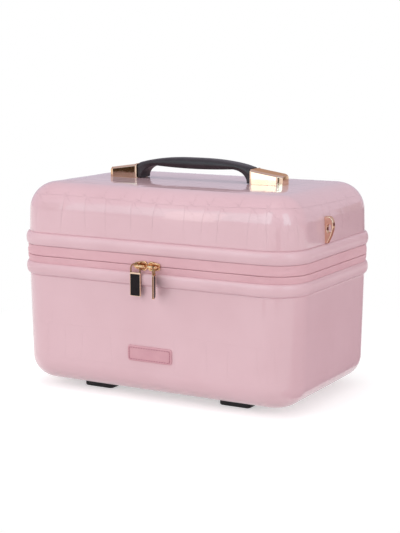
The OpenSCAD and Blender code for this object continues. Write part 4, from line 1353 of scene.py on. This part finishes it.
AZIMUTH, ELEVATION = math.radians(29.23), math.radians(9.52)
CAMERA_PLACE = (0.72548, -1.28334, 0.38157)
camera_data = bpy.data.cameras.new("camera")
camera_data.sensor_width = 36
camera_data.lens = 90.27
camera = bpy.data.objects.new("camera", camera_data)
scene.collection.objects.link(camera)


def facing(azimuth, elevation):
    """A direction: azimuth counts from the front wall's outward side to +X."""
    across = math.cos(elevation)
    return Vector((math.sin(azimuth) * across, -math.cos(azimuth) * across, math.sin(elevation)))


camera.location = CAMERA_PLACE
camera.rotation_mode = "QUATERNION"
camera.rotation_quaternion = (-facing(AZIMUTH, ELEVATION)).to_track_quat("-Z", "Y")
scene.camera = camera

# Floor, light and background

AIM = Vector((0, 0, 0.12))
scene.view_settings.view_transform = "Standard"


def either(tree, first, second):
    return add(tree, "ShaderNodeMath", first, second, operation="MAXIMUM").outputs["Value"]


def mixed(tree, share, first, second):
    return add(tree, "ShaderNodeMixShader", share, first, second).outputs["Shader"]


def glowing(tree, strength, colour=WHITE):
    return add(tree, "ShaderNodeEmission", Color=colour, Strength=strength).outputs["Emission"]


def make_world():
    """White to the camera, a pale grey studio to what mirrors, and a plain fill for the rest."""
    world = bpy.data.worlds.new("studio")
    scene.world = world
    world.use_nodes = True
    tree = world.node_tree
    tree.nodes.clear()
    path = add(tree, "ShaderNodeLightPath").outputs
    kinds = [(WHITE, 0.55), (srgb(201, 196, 210), 1.0), (WHITE, 1.0)]
    fill, studio, white = [
        add(tree, "ShaderNodeBackground", Color=colour, Strength=strength).outputs["Background"]
        for colour, strength in kinds
    ]
    mirrored = mixed(tree, path["Is Glossy Ray"], fill, studio)
    plain = either(tree, path["Is Camera Ray"], path["Is Transmission Ray"])
    add(tree, "ShaderNodeOutputWorld", mixed(tree, plain, mirrored, white))


def toward(azimuth, elevation, distance):
    """The point this far off in a direction."""
    return AIM + facing(math.radians(azimuth), math.radians(elevation)) * distance


def lamp(name, place, breadth, power):
    """A soft lamp that shows in no mirror. Cards give the reflections."""
    data = bpy.data.lights.new(name, "AREA")
    data.shape = "RECTANGLE"
    data.size, data.size_y = breadth
    data.energy = power
    obj = bpy.data.objects.new(name, data)
    scene.collection.objects.link(obj)
    obj.location = place
    obj.rotation_mode = "QUATERNION"
    obj.rotation_quaternion = (Vector(place) - AIM).to_track_quat("Z", "Y")
    obj.visible_camera = False
    obj.visible_glossy = False


def stage_sheet(name, corners):
    """A flat sheet of the stage, and the empty node tree of its material."""
    mesh = bpy.data.meshes.new(name)
    mesh.from_pydata(corners, [], [(0, 1, 2, 3)])
    obj = bpy.data.objects.new(name, mesh)
    scene.collection.objects.link(obj)
    material = bpy.data.materials.new(name)
    material.use_nodes = True
    material.node_tree.nodes.clear()
    mesh.materials.append(material)
    return obj, material.node_tree


def card(name, corners, colour, first=1.0, last=None, along=0):
    """A card that only mirrors see. Its brightness runs from first to last along X (0) or Y (1)."""
    obj, tree = stage_sheet(name, corners)
    reach = [corner[along] for corner in corners]
    across = add(tree, "ShaderNodeSeparateXYZ", place_on_piece(tree)).outputs["XYZ"[along]]
    places = dict(From_Min=min(reach), From_Max=max(reach))
    ends = dict(To_Min=first, To_Max=first if last is None else last)
    spread = add(tree, "ShaderNodeMapRange", across, **places, **ends).outputs["Result"]
    add(tree, "ShaderNodeOutputMaterial", glowing(tree, spread, colour))
    obj.visible_camera = False
    obj.visible_diffuse = False
    obj.visible_shadow = False
    obj.visible_transmission = False


def upright(x0, x1, y, z0, z1):
    """Corners of a card that stands square to the front."""
    return [(x0, y, z0), (x1, y, z0), (x1, y, z1), (x0, y, z1)]


def slanted(x0, y0, x1, y1, z0, z1):
    """Corners of a card that stands over a slanted line."""
    return [(x0, y0, z0), (x1, y1, z0), (x1, y1, z1), (x0, y0, z1)]


def lying(x0, x1, y0, y1, z):
    """Corners of a card that lies level."""
    return [(x0, y0, z), (x1, y0, z), (x1, y1, z), (x0, y1, z)]


def make_floor():
    """Pale paper that keeps the case's shadow and runs out into plain white."""
    _, tree = stage_sheet("floor", lying(-12, 12, -12, 12, 0))
    paper = add(tree, "ShaderNodeBsdfDiffuse", Color=(0.78, 0.78, 0.78, 1)).outputs["BSDF"]
    lit = add(tree, "ShaderNodeAddShader", paper, glowing(tree, 0.5)).outputs["Shader"]
    away = add(tree, "ShaderNodeVectorMath", place_on_piece(tree), operation="LENGTH").outputs["Value"]
    fade = dict(interpolation_type="SMOOTHSTEP", From_Min=0.24, From_Max=0.5)
    share = add(tree, "ShaderNodeMapRange", away, **fade).outputs["Result"]
    faded = mixed(tree, share, lit, glowing(tree, 1.0))
    path = add(tree, "ShaderNodeLightPath").outputs
    plain = either(tree, path["Is Camera Ray"], path["Is Glossy Ray"])
    add(tree, "ShaderNodeOutputMaterial", mixed(tree, plain, paper, faded))


make_world()
make_floor()
lamp("key", toward(-32, 18, 2.2), (3.2, 2.2), 26)
lamp("right_fill", toward(80, 14, 2.2), (1.2, 1.0), 12)
lamp("overhead", (-0.1, -0.2, 2.3), (1.2, 1.2), 11)

# What the glossy skin mirrors: a tall light on either side of the camera, and flags beside and behind
COOL = (0.62, 0.98, 1, 1)
card("left_light", [(-1.75, -2, 0.5), (0.35, -2, 0.5), (0.35, -2, 3.0), (-1.75, -2, 1.7)], COOL, 1.35, 2.85)
card("right_light", slanted(1.69, -1.39, 2.09, -0.62, 0.35, 2.4), COOL, 3.2)
card("wall_flag", lying(0.172, 0.7, -0.12, 0.8, 0.001), srgb(174, 142, 154), 1.12, 0.95, along=1)
card("lid_flag", upright(0.18, 1.1, 0.25, 0.14, 0.195), srgb(88, 60, 70), 0.6, 9)

# What the polished fittings mirror
card("left_cap_dark", upright(-0.25, -0.18, -0.2, 0.2, 0.28), srgb(66, 51, 36))
card("right_cap_bright", upright(-0.04, 0.028, -0.2, 0.2, 0.28), (1, 0.97, 0.93, 1), 2.5)
card("chamfer_dark", slanted(1.047, -0.576, 1.09, -0.497, 0.1, 0.37), srgb(64, 46, 32))
card("cap_end_dark", upright(0.225, 0.275, 0.25, 0.195, 0.24), srgb(104, 82, 60))
card("tag_dark", upright(0.045, 0.105, -0.35, 0.05, 0.14), srgb(112, 84, 62))
card("lug_rose", upright(0.26, 0.36, -0.35, 0.05, 0.19), srgb(96, 54, 48))
